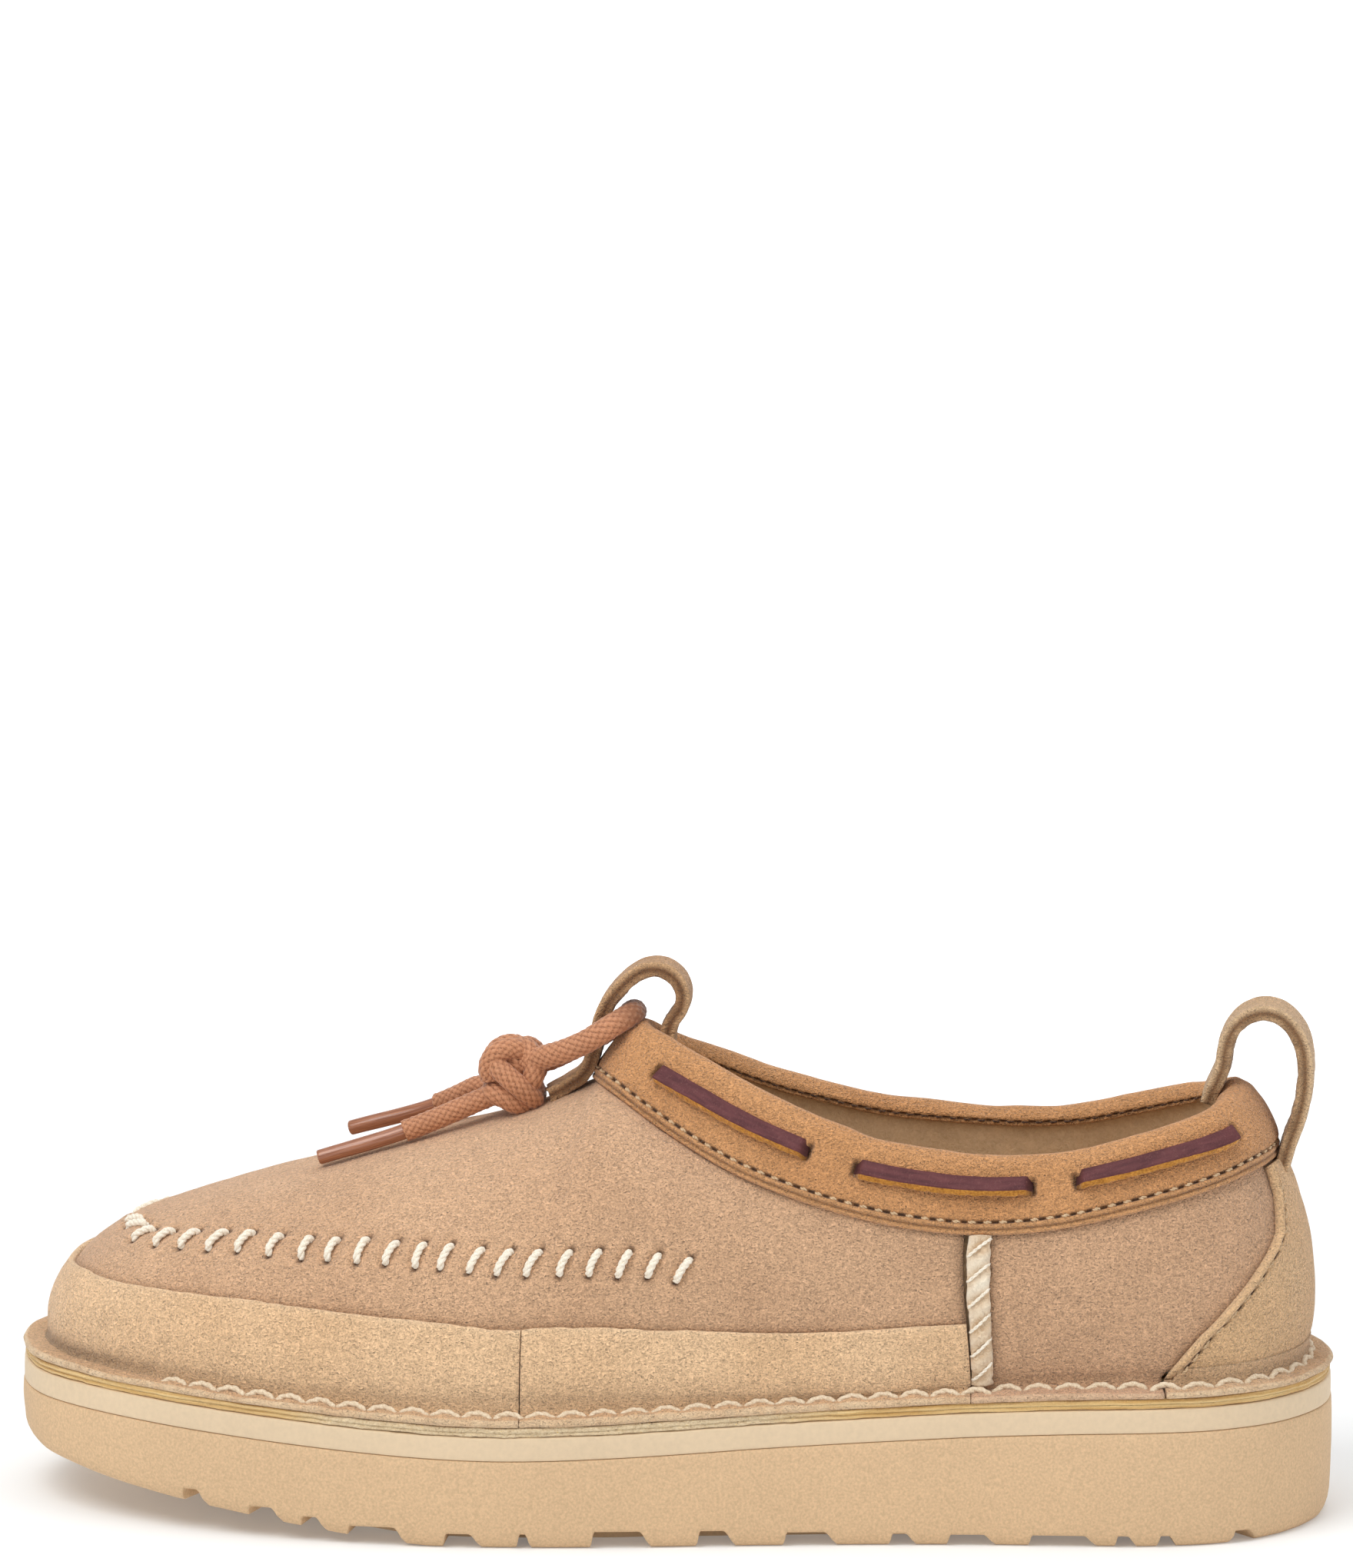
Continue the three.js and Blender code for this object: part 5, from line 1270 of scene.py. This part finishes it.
def collar_section(height):
    """Offsets and heights of the section at each turn, and the table row each came from."""
    offset = repeat(COLLAR_RING[None, :, 0], len(height), 0)
    rise = COLLAR_RING[:, 1]*height[:, None] + COLLAR_RING[:, 2]
    mean, m = rise.mean(0), len(COLLAR_RING)
    gap = np.hypot(np.diff(r_[mean, mean[:1]]),
                   np.diff(r_[COLLAR_RING[:, 0], COLLAR_RING[0, 0]]))
    counts = maximum(1, np.round(gap/(.38*STEP)).astype(int))
    idx = repeat(arange(m), counts)
    t = concatenate([arange(k)/k for k in counts])[None]
    def rounded(values):
        """Part smooth curve, part straight line through the table's points."""
        p0, p1, p2, p3 = (values[:, (idx + k) % m] for k in (-1, 0, 1, 2))
        bent = .5*((2*p1) + (-p0 + p2)*t + (2*p0 - 5*p1 + 4*p2 - p3)*t**2
                   + (-p0 + 3*p1 - 3*p2 + p3)*t**3)
        return bent*.62 + (p1*(1 - t) + p2*t)*(1 - .62)
    return rounded(offset), rounded(rise), idx

def build_collar():
    at, length = arc(seam_line, 0, 1, 3000)
    total = length[-1]
    n = int(total/(.42*STEP))
    along = linspace(0, total, n, endpoint=False)
    turn = interp(along, length, at)
    seam, up, out, height = band(turn)
    offset, rise, idx = collar_section(height)
    m = offset.shape[1]
    height = height[:, None]
    part = rise/height
    offset = offset + ((1.1*bell(turn, .075, .5))[:, None]*sin(pi*clip(part, 0, 1))
                       * ((idx >= 9) & (idx < 20)))
    rings = ring_points(seam, out, up, offset, rise)
    flat = rings.reshape(-1, 3)
    face, lip, crest = (idx >= 1) & (idx < 25), idx < 8, (idx >= 15) & (idx < 19)
    lift = (.9*soft(flat)).reshape(n, m)*face*clip(minimum(1, part + .2), .25, 1)
    lift += (.16*noise_along(along, 7.5, 81)[:, None]*smooth(part, .75, 1.0)
             * (offset < 1.6)*face)
    ragged = (.10*noise_along(along, 2.4, 82)[:, None]*lip
              + .12*noise(flat, 1.3, 83).reshape(n, m)*lip)
    dark, pale = zeros((n, m)), zeros((n, m))
    # stitch grooves below outside and near the top inside, pressed in, with painted shade in the
    # holes and along the grooves
    count = int(round(total/3.3))
    beat = np.abs(mod(along/total*count, 1) - .5)[:, None]
    for gap, on, shade in ((rise - LOW_STITCH, (offset > 1.2) & (idx < 12), .95),
                           (rise - (height - TOP_STITCH), (idx >= 19) & (idx < 26), .8)):
        dash = smooth(.30 - np.abs(gap), -.12, .12)*smooth(.24 - beat, -.05, .05)*on
        dark = maximum(dark, dash*shade)
        lift -= .35*dash
        dark = maximum(dark, .28*bell(gap, .4)*on)
    outer = offset > .6
    # painted shade under the step between the two layers of the lower edge
    dark = maximum(dark, .55*bell(rise, .22, .98)*lip*outer)
    pale = maximum(pale, .30*bell(rise, .5, 1.75)*(idx < 9)*outer)
    pale = maximum(pale, .22*(idx < 4))
    # slits where the thong goes in, pressed in and darkened with painted shade
    for end in np.ravel(THONG_RUNS):
        spot = array([end])
        base, rise_dir, out_dir, tall = band(spot)
        centre = base + rise_dir*(THONG_RISE*tall)[:, None] + out_dir*2.0
        run_dir = unit(seam_line(spot + 2e-3) - seam_line(spot - 2e-3))
        x, y, z = (((flat - centre[0]) @ axis[0]) for axis in (run_dir, rise_dir, out_dir))
        slit = (exp(-(x/.70)**4 - (y/1.9)**4)*(np.abs(z) < 2.2)).reshape(n, m)
        slit = slit*((idx >= 9) & (idx < 17))
        lift -= 1.0*slit
        dark = maximum(dark, .85*slit)
    push = where(idx < 16, 1.0, -1.0)*where(crest, 0.0, 1.0)
    rings += out[:, None]*((lift + ragged)*push)[..., None]
    rings += up[:, None]*(lift*crest)[..., None]
    piece = Piece().add(*sweep(rings, True), dark=clip(dark, 0, 1).ravel(), pale=pale.ravel())
    mesh("collar_suede", piece, M_COLLAR, ("collar_band",))
    outside, inside = Piece(), Piece()
    u = linspace(0, 1, 12)
    rounding = smooth(fold(u), 0, .3)
    for i in range(count):
        place = mod(i + .5 + .26 + .48*u, count)/count*total
        seam, up, out, tall = band(mod(interp(place, length, at), 1))
        path = seam + up*LOW_STITCH + out*(1.40 + .60*rounding)[:, None]
        twine(outside, path, out, .33, pitch=2.0, sides=6)
        path = seam + up*(tall - TOP_STITCH)[:, None] - out*(4.15 + .40*rounding)[:, None]
        twine(inside, path, out, .22, pitch=2.0, sides=6)
    mesh("collar_stitches", outside, M_THREAD_TAN)
    mesh("collar_inner_stitches", inside, M_THREAD_DARK)

def thong_section(half_w, half_h, radius):
    """Rounded rectangle: across, outward, 0 on the smooth face or 1 on the rough edge."""
    wide, tall = (1.2, .6, 0, -.6, -1.2), (.28, 0, -.28)
    sides = ([(f, half_h + .05, 0) for f in wide], [(-half_w - .04, f, 1) for f in tall],
             [(-f, -half_h, 1) for f in wide], [(half_w + .04, -f, 1) for f in tall])
    ring = []
    for k, (sx, sy) in enumerate(((1, 1), (-1, 1), (-1, -1), (1, -1))):
        for q in range(90*k, 90*k + 91, 30):
            ring.append((sx*(half_w - radius) + radius*cos(radians(q)),
                         sy*(half_h - radius) + radius*sin(radians(q)),
                         0 if 0 < q < 180 else 1))
        ring += sides[k]
    return array(ring, float)

def build_thong():
    piece = Piece()
    half_w, half_h = 2.10, 1.05
    ring = thong_section(half_w, half_h, .34)
    m, rough = len(ring), ring[:, 2]
    for k, (start, end) in enumerate(THONG_RUNS):
        seam, up, out, height = band(by_length(seam_line, start, end, .45))
        length = run(seam)
        n = len(length)
        near = minimum(length, length[-1] - length)
        lift = 2.15 + .9*smooth(near, 0.0, 2.2) - 1.7*(1 - smooth(near, 0.0, 1.6))
        sway = noise_along(length + 40*k, 19, 91)
        mid = (seam + up*(THONG_RISE*height + .35*sway)[:, None]
               + out*(lift + .12*noise_along(length + 7*k, 8, 92))[:, None])
        tilt = (radians(34) + .10*sway)[:, None]
        side, face = up*cos(tilt) - out*sin(tilt), out*cos(tilt) + up*sin(tilt)
        rings = ring_points(mid, side, face, ring[:, 0], ring[:, 1])
        flat = rings.reshape(-1, 3)
        fuzz = (.16*noise(flat, 1.2, 93).reshape(n, m)*rough
                + .03*noise(flat, 3, 94).reshape(n, m))
        rings = rings + (side[:, None]*(ring[:, 0]/half_w)[:, None]
                         + face[:, None]*(ring[:, 1]/half_h)[:, None])*fuzz[..., None]
        verts, faces = sweep(rings)
        mat = (r_[tile(rough, n), 1, 1][faces].min(1) > .5).astype(int)
        uv = vstack([c_[repeat(length + 60*k, m), tile(run(ring[:, :2]), n)], zeros((2, 2))])
        # painted shade on the thong's ends where they dip into the slits
        dark = r_[repeat(.7*(1 - smooth(near, .2, 1.8)), m), 1, 1]
        piece.add(verts, faces, uv=uv, mat=mat, dark=dark)
    mesh("collar_thong", piece, M_THONG, ("thong",))

# ---------- pull loops ----------
# x, z of each strap's centre line, on the centre plane; the front one starts on the ridge
TAB = ((-25.6,1.5), (-24.6,1.65), (-23.4,1.75), (-21.9,2.1))      # x, height above the ridge
FRONT_LOOP = [
    (-19.6,91.0), (-17.9,93.3), (-16.9,96.2), (-16.1,99.6), (-15.3,103.2), (-13.8,106.8),
    (-11.5,109.9), (-8.6,112.7), (-5.6,114.3), (-2.3,114.3), (.6,112.5), (2.1,109.4),
    (1.7,106.1), (-.2,103.2), (-1.1,100.5), (-1.3,97.5)]
HEEL_LOOP = [
    (128.8,74.2), (129.5,76.6), (130.4,79.6), (131.9,83.8), (133.1,88.5), (133.7,93.6),
    (133.5,98.0), (132.6,101.6), (130.7,104.7), (128.2,106.8), (125.1,107.6), (121.9,106.9),
    (119.2,104.9), (117.4,102.0), (116.6,98.8), (116.2,95.8), (115.2,93.0), (114.0,90.4),
    (113.2,88.0)]
FACE, PARTING, BACK = range(3)              # zones of the strap's section

def strap_section(w, h):
    """Two layers with a parting line: across, outward, zone; w and h are half sizes."""
    r, split, lay, slim = .42, .35, -.05, w - .05
    flats = linspace(-(w - r), w - r, int(2*w/(.55*STEP)))
    prof = []
    def corner(x, y, start, end, zone):
        for q in radians(linspace(start, end, 5)):
            prof.append((x + r*cos(q), y + r*sin(q), zone))
    prof += [(f, h, FACE) for f in flats[1:-1]]
    corner(w - r, h - r, 90, 0, FACE)
    prof += [(w, h - r - .12, FACE), (w - split, lay + .10, PARTING),
             (w - split, lay - .10, PARTING), (slim, -h + r + .12, BACK)]
    corner(slim - r, -h + r, 0, -90, BACK)
    prof += [(f, -h, BACK) for f in linspace(w - r, -(w - r), len(flats))[1:-1]]
    corner(-(slim - r), -h + r, -90, -180, BACK)
    prof += [(-slim, -h + r + .12, BACK), (-(w - split), lay - .10, PARTING),
             (-(w - split), lay + .10, PARTING), (-w, h - r - .12, FACE)]
    corner(-(w - r), h - r, 180, 90, FACE)
    return array(prof)

def build_strap(name, line, width, mat, replaces, fray=0.0,
                end_width=1.0):
    line = array(line)
    path = even_path(c_[line[:, 0], zeros(len(line)), line[:, 1]], .42)
    n, w = len(path), width/2
    tangent, side = unit(np.gradient(path, axis=0)), tile([0, 1.0, 0], (n, 1))
    up = np.cross(tangent, side)
    up *= np.sign(np.sum(up*(path - path.mean(0))))      # away from the loop's middle
    length = run(path)
    prof = strap_section(w, 1.6)
    x, y, zone = prof.T
    m = len(prof)
    scale = 1 + .025*noise_along(length, 9, 101)
    scale = scale*(end_width + (1 - end_width)*smooth(length, 0, 6))
    rings = ring_points(path, side, up, x[None]*scale[:, None], y)
    flat = rings.reshape(-1, 3)
    rough = where(zone == BACK, .20, where(zone == PARTING, .05, .08))
    lift = ((noise(flat, 1.5, 102) + .6*noise(flat, .8, 103)).reshape(n, m)*rough[None]
            + .22*noise(flat, 9, 104).reshape(n, m))
    push = (side[:, None]*((x/w)**3)[:, None]
            + up[:, None]*(np.sign(y)*(1 - np.abs(x/w)**6))[:, None])
    rings += push*lift[..., None]
    ragged = exp(-length/.9)[:, None]*fray*(.5 + .5*noise(flat, .8, 105).reshape(n, m))
    rings -= tangent[:, None]*ragged[..., None]
    verts, faces = sweep(rings)
    zones = tile(zone, n)
    dark = where(zones == PARTING, .85,
                 where(zones == BACK, .38 + .3*noise(flat, 2.2, 106), 0.0))
    pale = where((zones == FACE) & (np.abs(tile(x, n)) > w - .42*.8), .30, 0.0)
    piece = Piece().add(verts, faces, dark=clip(r_[dark, .3, .3], 0, 1), pale=r_[pale, 0, 0])
    ob = mesh(name, piece, mat, replaces, body=None)
    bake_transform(ob)

def build_straps():
    tab = [(x, curve(RIDGE, x)[0] + above) for x, above in TAB]
    build_strap("front_loop_strap", tab + FRONT_LOOP, 8.4, M_STRAP,
                ("front_loop_tab", "front_pull_loop"),
                fray=1.3, end_width=.93)
    build_strap("heel_loop_strap", HEEL_LOOP, 12.0, M_HEEL_STRAP,
                ("heel_pull_loop",))

# ---------- cord ----------
BRAID_STRANDS, BRAID_PITCH = 10, 1.75
CORD_RADIUS = 2.30
KNOT = array([-33.8, -1.0, 90.8])           # centre
KNOT_SCALE = array([.84, .95, .88])
# bands of the knot's outer half, from its centre before scaling
KNOT_BANDS = (
    [(-5.8,-2,-.5), (-6.2,-2.5,2.2), (-4.6,-2.8,5.4), (-1.2,-2.2,6.8), (2,-1,6), (3.5,1,4)],
    [(1,1.5,6.5), (3.4,-.8,6.4), (5.3,-2.6,3.6), (5,-3.2,.2), (3.5,-1.5,-2.5)],
    [(-5.4,-1,3.2), (-3.8,-3.6,2.4), (-.8,-5,.2), (2.6,-4.8,-2.6), (4.8,-2.8,-5),
     (4.6,.5,-6.4)],
    [(-6,-.5,-4.2), (-5.2,-3,-4), (-2.6,-3.9,-4.6), (.5,-3.4,-6.2), (3,-1,-7.2)])
BIGHT = [(-30.8,-2.4,93.6), (-26.8,-4.8,95.6), (-22.8,-6.8,97.2), (-18.2,-7.6,99.4),
         (-12.6,-7.1,102.9), (-9.4,-4.6,104.5)]          # outer half of the cord's loop
# name, side in y, points from the knot to the aglet's tip
TAILS = (("near", -1, [(-41.2,-3.2,85.6), (-48.5,-3.8,82.3), (-56.0,-4.3,79.2),
                       (-75.2,-5.6,73.1)]),
         ("far", 1, [(-42.8,3.9,86.9), (-50.2,7.4,82.8), (-70.2,10.4,76.3)]))

def braid(piece, pts, radius, first=(0, .35, 1), relief=.22, offset=0.0, dark_x=None):
    """A braided cord, with painted shade between its strands and painted highlights on their
    crests; dark_x is the span of x over which more painted shade darkens it.
    """
    path = even_path(pts, .22)
    _, side, up = transport(path, first)
    sides = 48
    q, z = BRAID_STRANDS*angles(sides)[None]/TAU, run(path)[:, None]/BRAID_PITCH + offset
    a, b = q + z, q - z
    part_a, part_b = mod(a, 1) - .5, mod(b, 1) - .5
    over_a = mod(np.floor(a) + np.floor(b), 2) < .5      # which strand lies on top
    top = where(over_a, cos(pi*part_a), cos(pi*part_b))
    height = top**.8*(.55 + .45*cos(pi*where(over_a, part_b, part_a)))*relief
    plain = ring_tube(path, side, up, radius, sides).reshape(-1, 3)
    radii = radius - relief*.62 + height + .05*noise(plain, .7, 111).reshape(height.shape)
    # painted shade in the hollows between strands; painted highlight on their crests below
    dark = clip(.85 - 1.45*height/relief, 0, .9)
    if dark_x:
        dark = maximum(dark, (.55*smooth(path[:, 0], *dark_x))[:, None])
    pale = clip((height/relief - .75)*1.2, 0, .3)
    piece.add(*sweep(ring_tube(path, side, up, radii, sides)),
              dark=r_[dark.ravel(), .6, .6], pale=r_[pale.ravel(), 0, 0])

def build_knot():
    piece = Piece()
    far = [(x, -y, z - 2.3*min(1, (-7.5 - x)/5, (x + 33)/6)) for x, y, z in BIGHT[::-1]]
    # painted shade on the bight where it runs through the front pull loop
    braid(piece, [(-34.0, -.6, 92.6)] + BIGHT + [(-8.4, 0, 104.6)] + far + [(-34.0, .6, 92.2)],
          2.5, dark_x=(-13.5, -9.0))
    for i, pts in enumerate(KNOT_BANDS):
        pts = array(pts, float)
        braid(piece, KNOT + pts*KNOT_SCALE, CORD_RADIUS, first=(0, -1, .3), offset=.3*i)
        other = pts*(1, -1, 1)
        other[:, 2] = other[:, 2]*.96 + .2*sin(i*2.1)
        braid(piece, KNOT + other*KNOT_SCALE + (0, 1.6, 0), CORD_RADIUS, first=(0, 1, .3),
              offset=.5*i)
    core = [KNOT + d for d in ((-3.5, .3, -4.0), (-1.0, .6, 0), (1.5, .5, 3.6))]
    braid(piece, core, 3.9, first=(0, 1, 0), relief=.25)
    mesh("toggle_cord_braid", piece, M_CORD, ("toggle_cord",), body="cord")

def build_tail(name, sign, pts):
    """A cord tail and the aglet over its last stretch."""
    path = even_path(pts, count=400)
    length = run(path)
    cord_end = length[np.argmin(norm(path - pts[-2]))] + 1.0
    line = [KNOT + (-1.5, sign, -3.0)]
    line += [path[np.argmin(np.abs(length - x))] for x in linspace(0.0, cord_end, 6)]
    piece = Piece()
    braid(piece, line, CORD_RADIUS, first=(0, -1, .2))
    mesh("cord_tail_%s_braid" % name, piece, M_CORD, ("cord_tail_" + name,),
         body="tail_" + name)
    start, end = cord_end - .6, length[-1]
    at = r_[start, start + .25, start + .6, linspace(start + 1.0, end - .3, 46), end - .12, end]
    mid = at_length(path, length, at)
    into, left = at - start, end - at
    radius = (1.78 - .16*clip(1 - into/.8, 0, 1) - .10*into/(end - start)
              - .22*clip(1 - left/.3, 0, 1)**2 + .04*noise_along(at, 3.5, 121))
    tangent, side, up = transport(mid, (0, 0, 1))
    sides = 40
    q = angles(sides)
    dent = 1 - .05*cos(2*q)[None] + .012*cos(5*q + 1)[None]
    rings = ring_tube(mid, side, up, radius[:, None]*dent, sides)
    verts, faces = sweep(rings)
    verts[-1] += tangent[-1]*-.5             # slightly hollow tip
    uv = vstack([c_[repeat(at, sides), tile(q, len(at))*1.7], [[0, 0], [end, 0]]])
    # painted shade where the aglet comes out from under the cord's end, and in its hollow tip
    dark = r_[repeat(.75*clip(1 - into/.5, 0, 1), sides), .3, .55]
    mesh("aglet_%s_tip" % name, Piece().add(verts, faces, dark=dark, uv=uv), M_AGLET,
         ("aglet_" + name,), body="tail_" + name)

# ---------- lining ----------
def lining_depth(loop, rise):
    side = fold(loop)
    toe, heel = 1 - smooth(side, .10, .14), smooth(side, .37, .395)
    return -(2.1 + 1.6*maximum(toe*(1 - smooth(rise, .62, .75)),
                               heel*(1 - smooth(rise, .88, 1))))

def build_lining():
    side = side_stations([0.0, SEAM_START, .5], [2.0, 1.7])
    loop, rise, _, faces = layout(r_[-side[::-1], side[1:]], linspace(.035, 1, steps(54)),
                                  side[side >= SEAM_START - 1e-9],
                                  array([1, 1.1, 1.2, 1.3, 1.4, 1.5, 1.58, 1.66]))
    height = band(turn_of(loop))[3]
    # the bands stop 0.95 mm below the collar's top
    rise = where(rise > 1, 1 + (rise - 1)/.66*(height - .95)/height, rise)
    pts, nrm = skin(loop, rise), skin_normal(loop, rise)
    depth = lining_depth(loop, rise)
    inner = pts + nrm*(depth - LINING + .75*smooth(rise, 1.35, 1.85))[:, None]
    uneven = .28*noise(inner, 9, 131) + .14*noise(inner, 2.2, 132) + .08*noise(inner, 1.0, 133)
    sheet = join_shell(pts + nrm*depth[:, None], inner - nrm*uneven[:, None], faces)
    mesh("lining_sheet", Piece().add(*sheet), M_LINING,
         ("lining_vamp", "lining_quarter"))

build_outsole()
build_strip()
build_welt()
build_footbed()
build_vamp()
build_whip()
build_rands()
build_quarters()
build_counter()
build_edge_stitches()
build_side_seam("side_seam_lateral", .356, 1)
build_side_seam("side_seam_medial", 1 - .356, -1)
build_collar()
build_thong()
build_straps()
build_knot()
for _tail in TAILS:
    build_tail(*_tail)
build_lining()

# CAD solids that show through as they are
for _name, _mat in (("insole_board", M_BOARD), ("toe_puff", M_STIFF),
                    ("heel_stiffener", M_STIFF)):
    _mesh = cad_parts[_name].data
    _mesh.materials.clear()
    _mesh.materials.append(_mat)

# ---------- floor, light, camera (metres) ----------
def floor_material():
    """Near white, glowing more away from the shoe."""
    mat = bpy.data.materials.new("floor")
    mat.use_nodes = True
    tree = mat.node_tree
    shader = tree.nodes["Principled BSDF"].inputs
    for key, value in (("Base Color", (.83, .85, .865, 1)), ("Roughness", .9),
                       ("Specular IOR Level", .1), ("Emission Color", (1, 1, 1, 1))):
        shader[key].default_value = value
    place = tree.nodes.new("ShaderNodeTexCoord")
    dist = tree.nodes.new("ShaderNodeVectorMath")
    dist.operation = "LENGTH"
    tree.links.new(place.outputs["Object"], dist.inputs[0])
    glow = tree.nodes.new("ShaderNodeMapRange")
    glow.interpolation_type = "SMOOTHSTEP"
    tree.links.new(dist.outputs["Value"], glow.inputs[0])
    # from 0.22..0.9 m away to 0.14..1.0 of emission
    for i, value in enumerate((.22, .9, .14, 1.0), 1):
        glow.inputs[i].default_value = value
    tree.links.new(glow.outputs[0], shader["Emission Strength"])
    return mat

def build_floor():
    """A sheet that curves up beyond y = 3."""
    n = 61
    line = linspace(-4.5, 4.5, n)
    x, y = np.meshgrid(line, line + 1.5)
    z = where(y > 3.0, (y - 3.0)**2*.35, 0.0)
    a = arange(n - 1)[:, None]*n + arange(n - 1)[None]
    me = bpy.data.meshes.new("floor")
    me.from_pydata(c_[x.ravel(), y.ravel(), z.ravel()].tolist(), [],
                   stack([a, a + 1, a + n + 1, a + n], -1).reshape(-1, 4).tolist())
    ob = bpy.data.objects.new("studio_floor", me)
    bpy.context.scene.collection.objects.link(ob)
    me.materials.append(floor_material())

def area_light(name, place, target, size, power, colour=(1, 1, 1)):
    light = bpy.data.lights.new(name, "AREA")
    light.shape = "RECTANGLE"
    light.size, light.size_y = size
    light.energy, light.color = power, colour
    ob = bpy.data.objects.new(name, light)
    bpy.context.scene.collection.objects.link(ob)
    ob.location = place
    aim = mathutils.Vector(target) - mathutils.Vector(place)
    ob.rotation_euler = aim.to_track_quat("-Z", "Y").to_euler()

def build_camera():
    turn, tilt = radians(5), radians(10)
    target = array([-1.78426086, 26.22160116, 149.02613611])     # mm
    distance, view_width = 2600, 333.9115248                     # mm
    back = array([sin(turn)*cos(tilt), -cos(turn)*cos(tilt), sin(tilt)])
    cam = bpy.data.cameras.new("camera")
    cam.type, cam.sensor_fit, cam.sensor_width = "PERSP", "AUTO", 36.0
    cam.lens = 36.0*distance/view_width
    cam.clip_start, cam.clip_end = .05, 50
    ob = bpy.data.objects.new("camera", cam)
    scene.collection.objects.link(ob)
    ob.location = (target + back*distance)/1000
    ob.rotation_euler = (radians(90) - tilt, 0, turn)
    scene.camera = ob

scene = bpy.context.scene
build_floor()
area_light("key", (-.55, -.75, 1.25), target=(0, 0, .04), size=(.9, .9), power=12.6,
           colour=(1.0, .985, .96))
area_light("top", (.1, .1, 1.6), target=(0, 0, .04), size=(1.6, 1.6), power=10.0)
area_light("right", (1.2, -.5, .7), target=(0, 0, .05), size=(.7, .9), power=3.0)
world = bpy.data.worlds.new("studio")
world.use_nodes = True
background = world.node_tree.nodes["Background"].inputs
background[0].default_value = (1, 1, 1, 1)
background[1].default_value = .40
scene.world = world
scene.view_settings.view_transform = "Standard"
scene.view_settings.look = "None"
scene.view_settings.exposure = 0.0
build_camera()
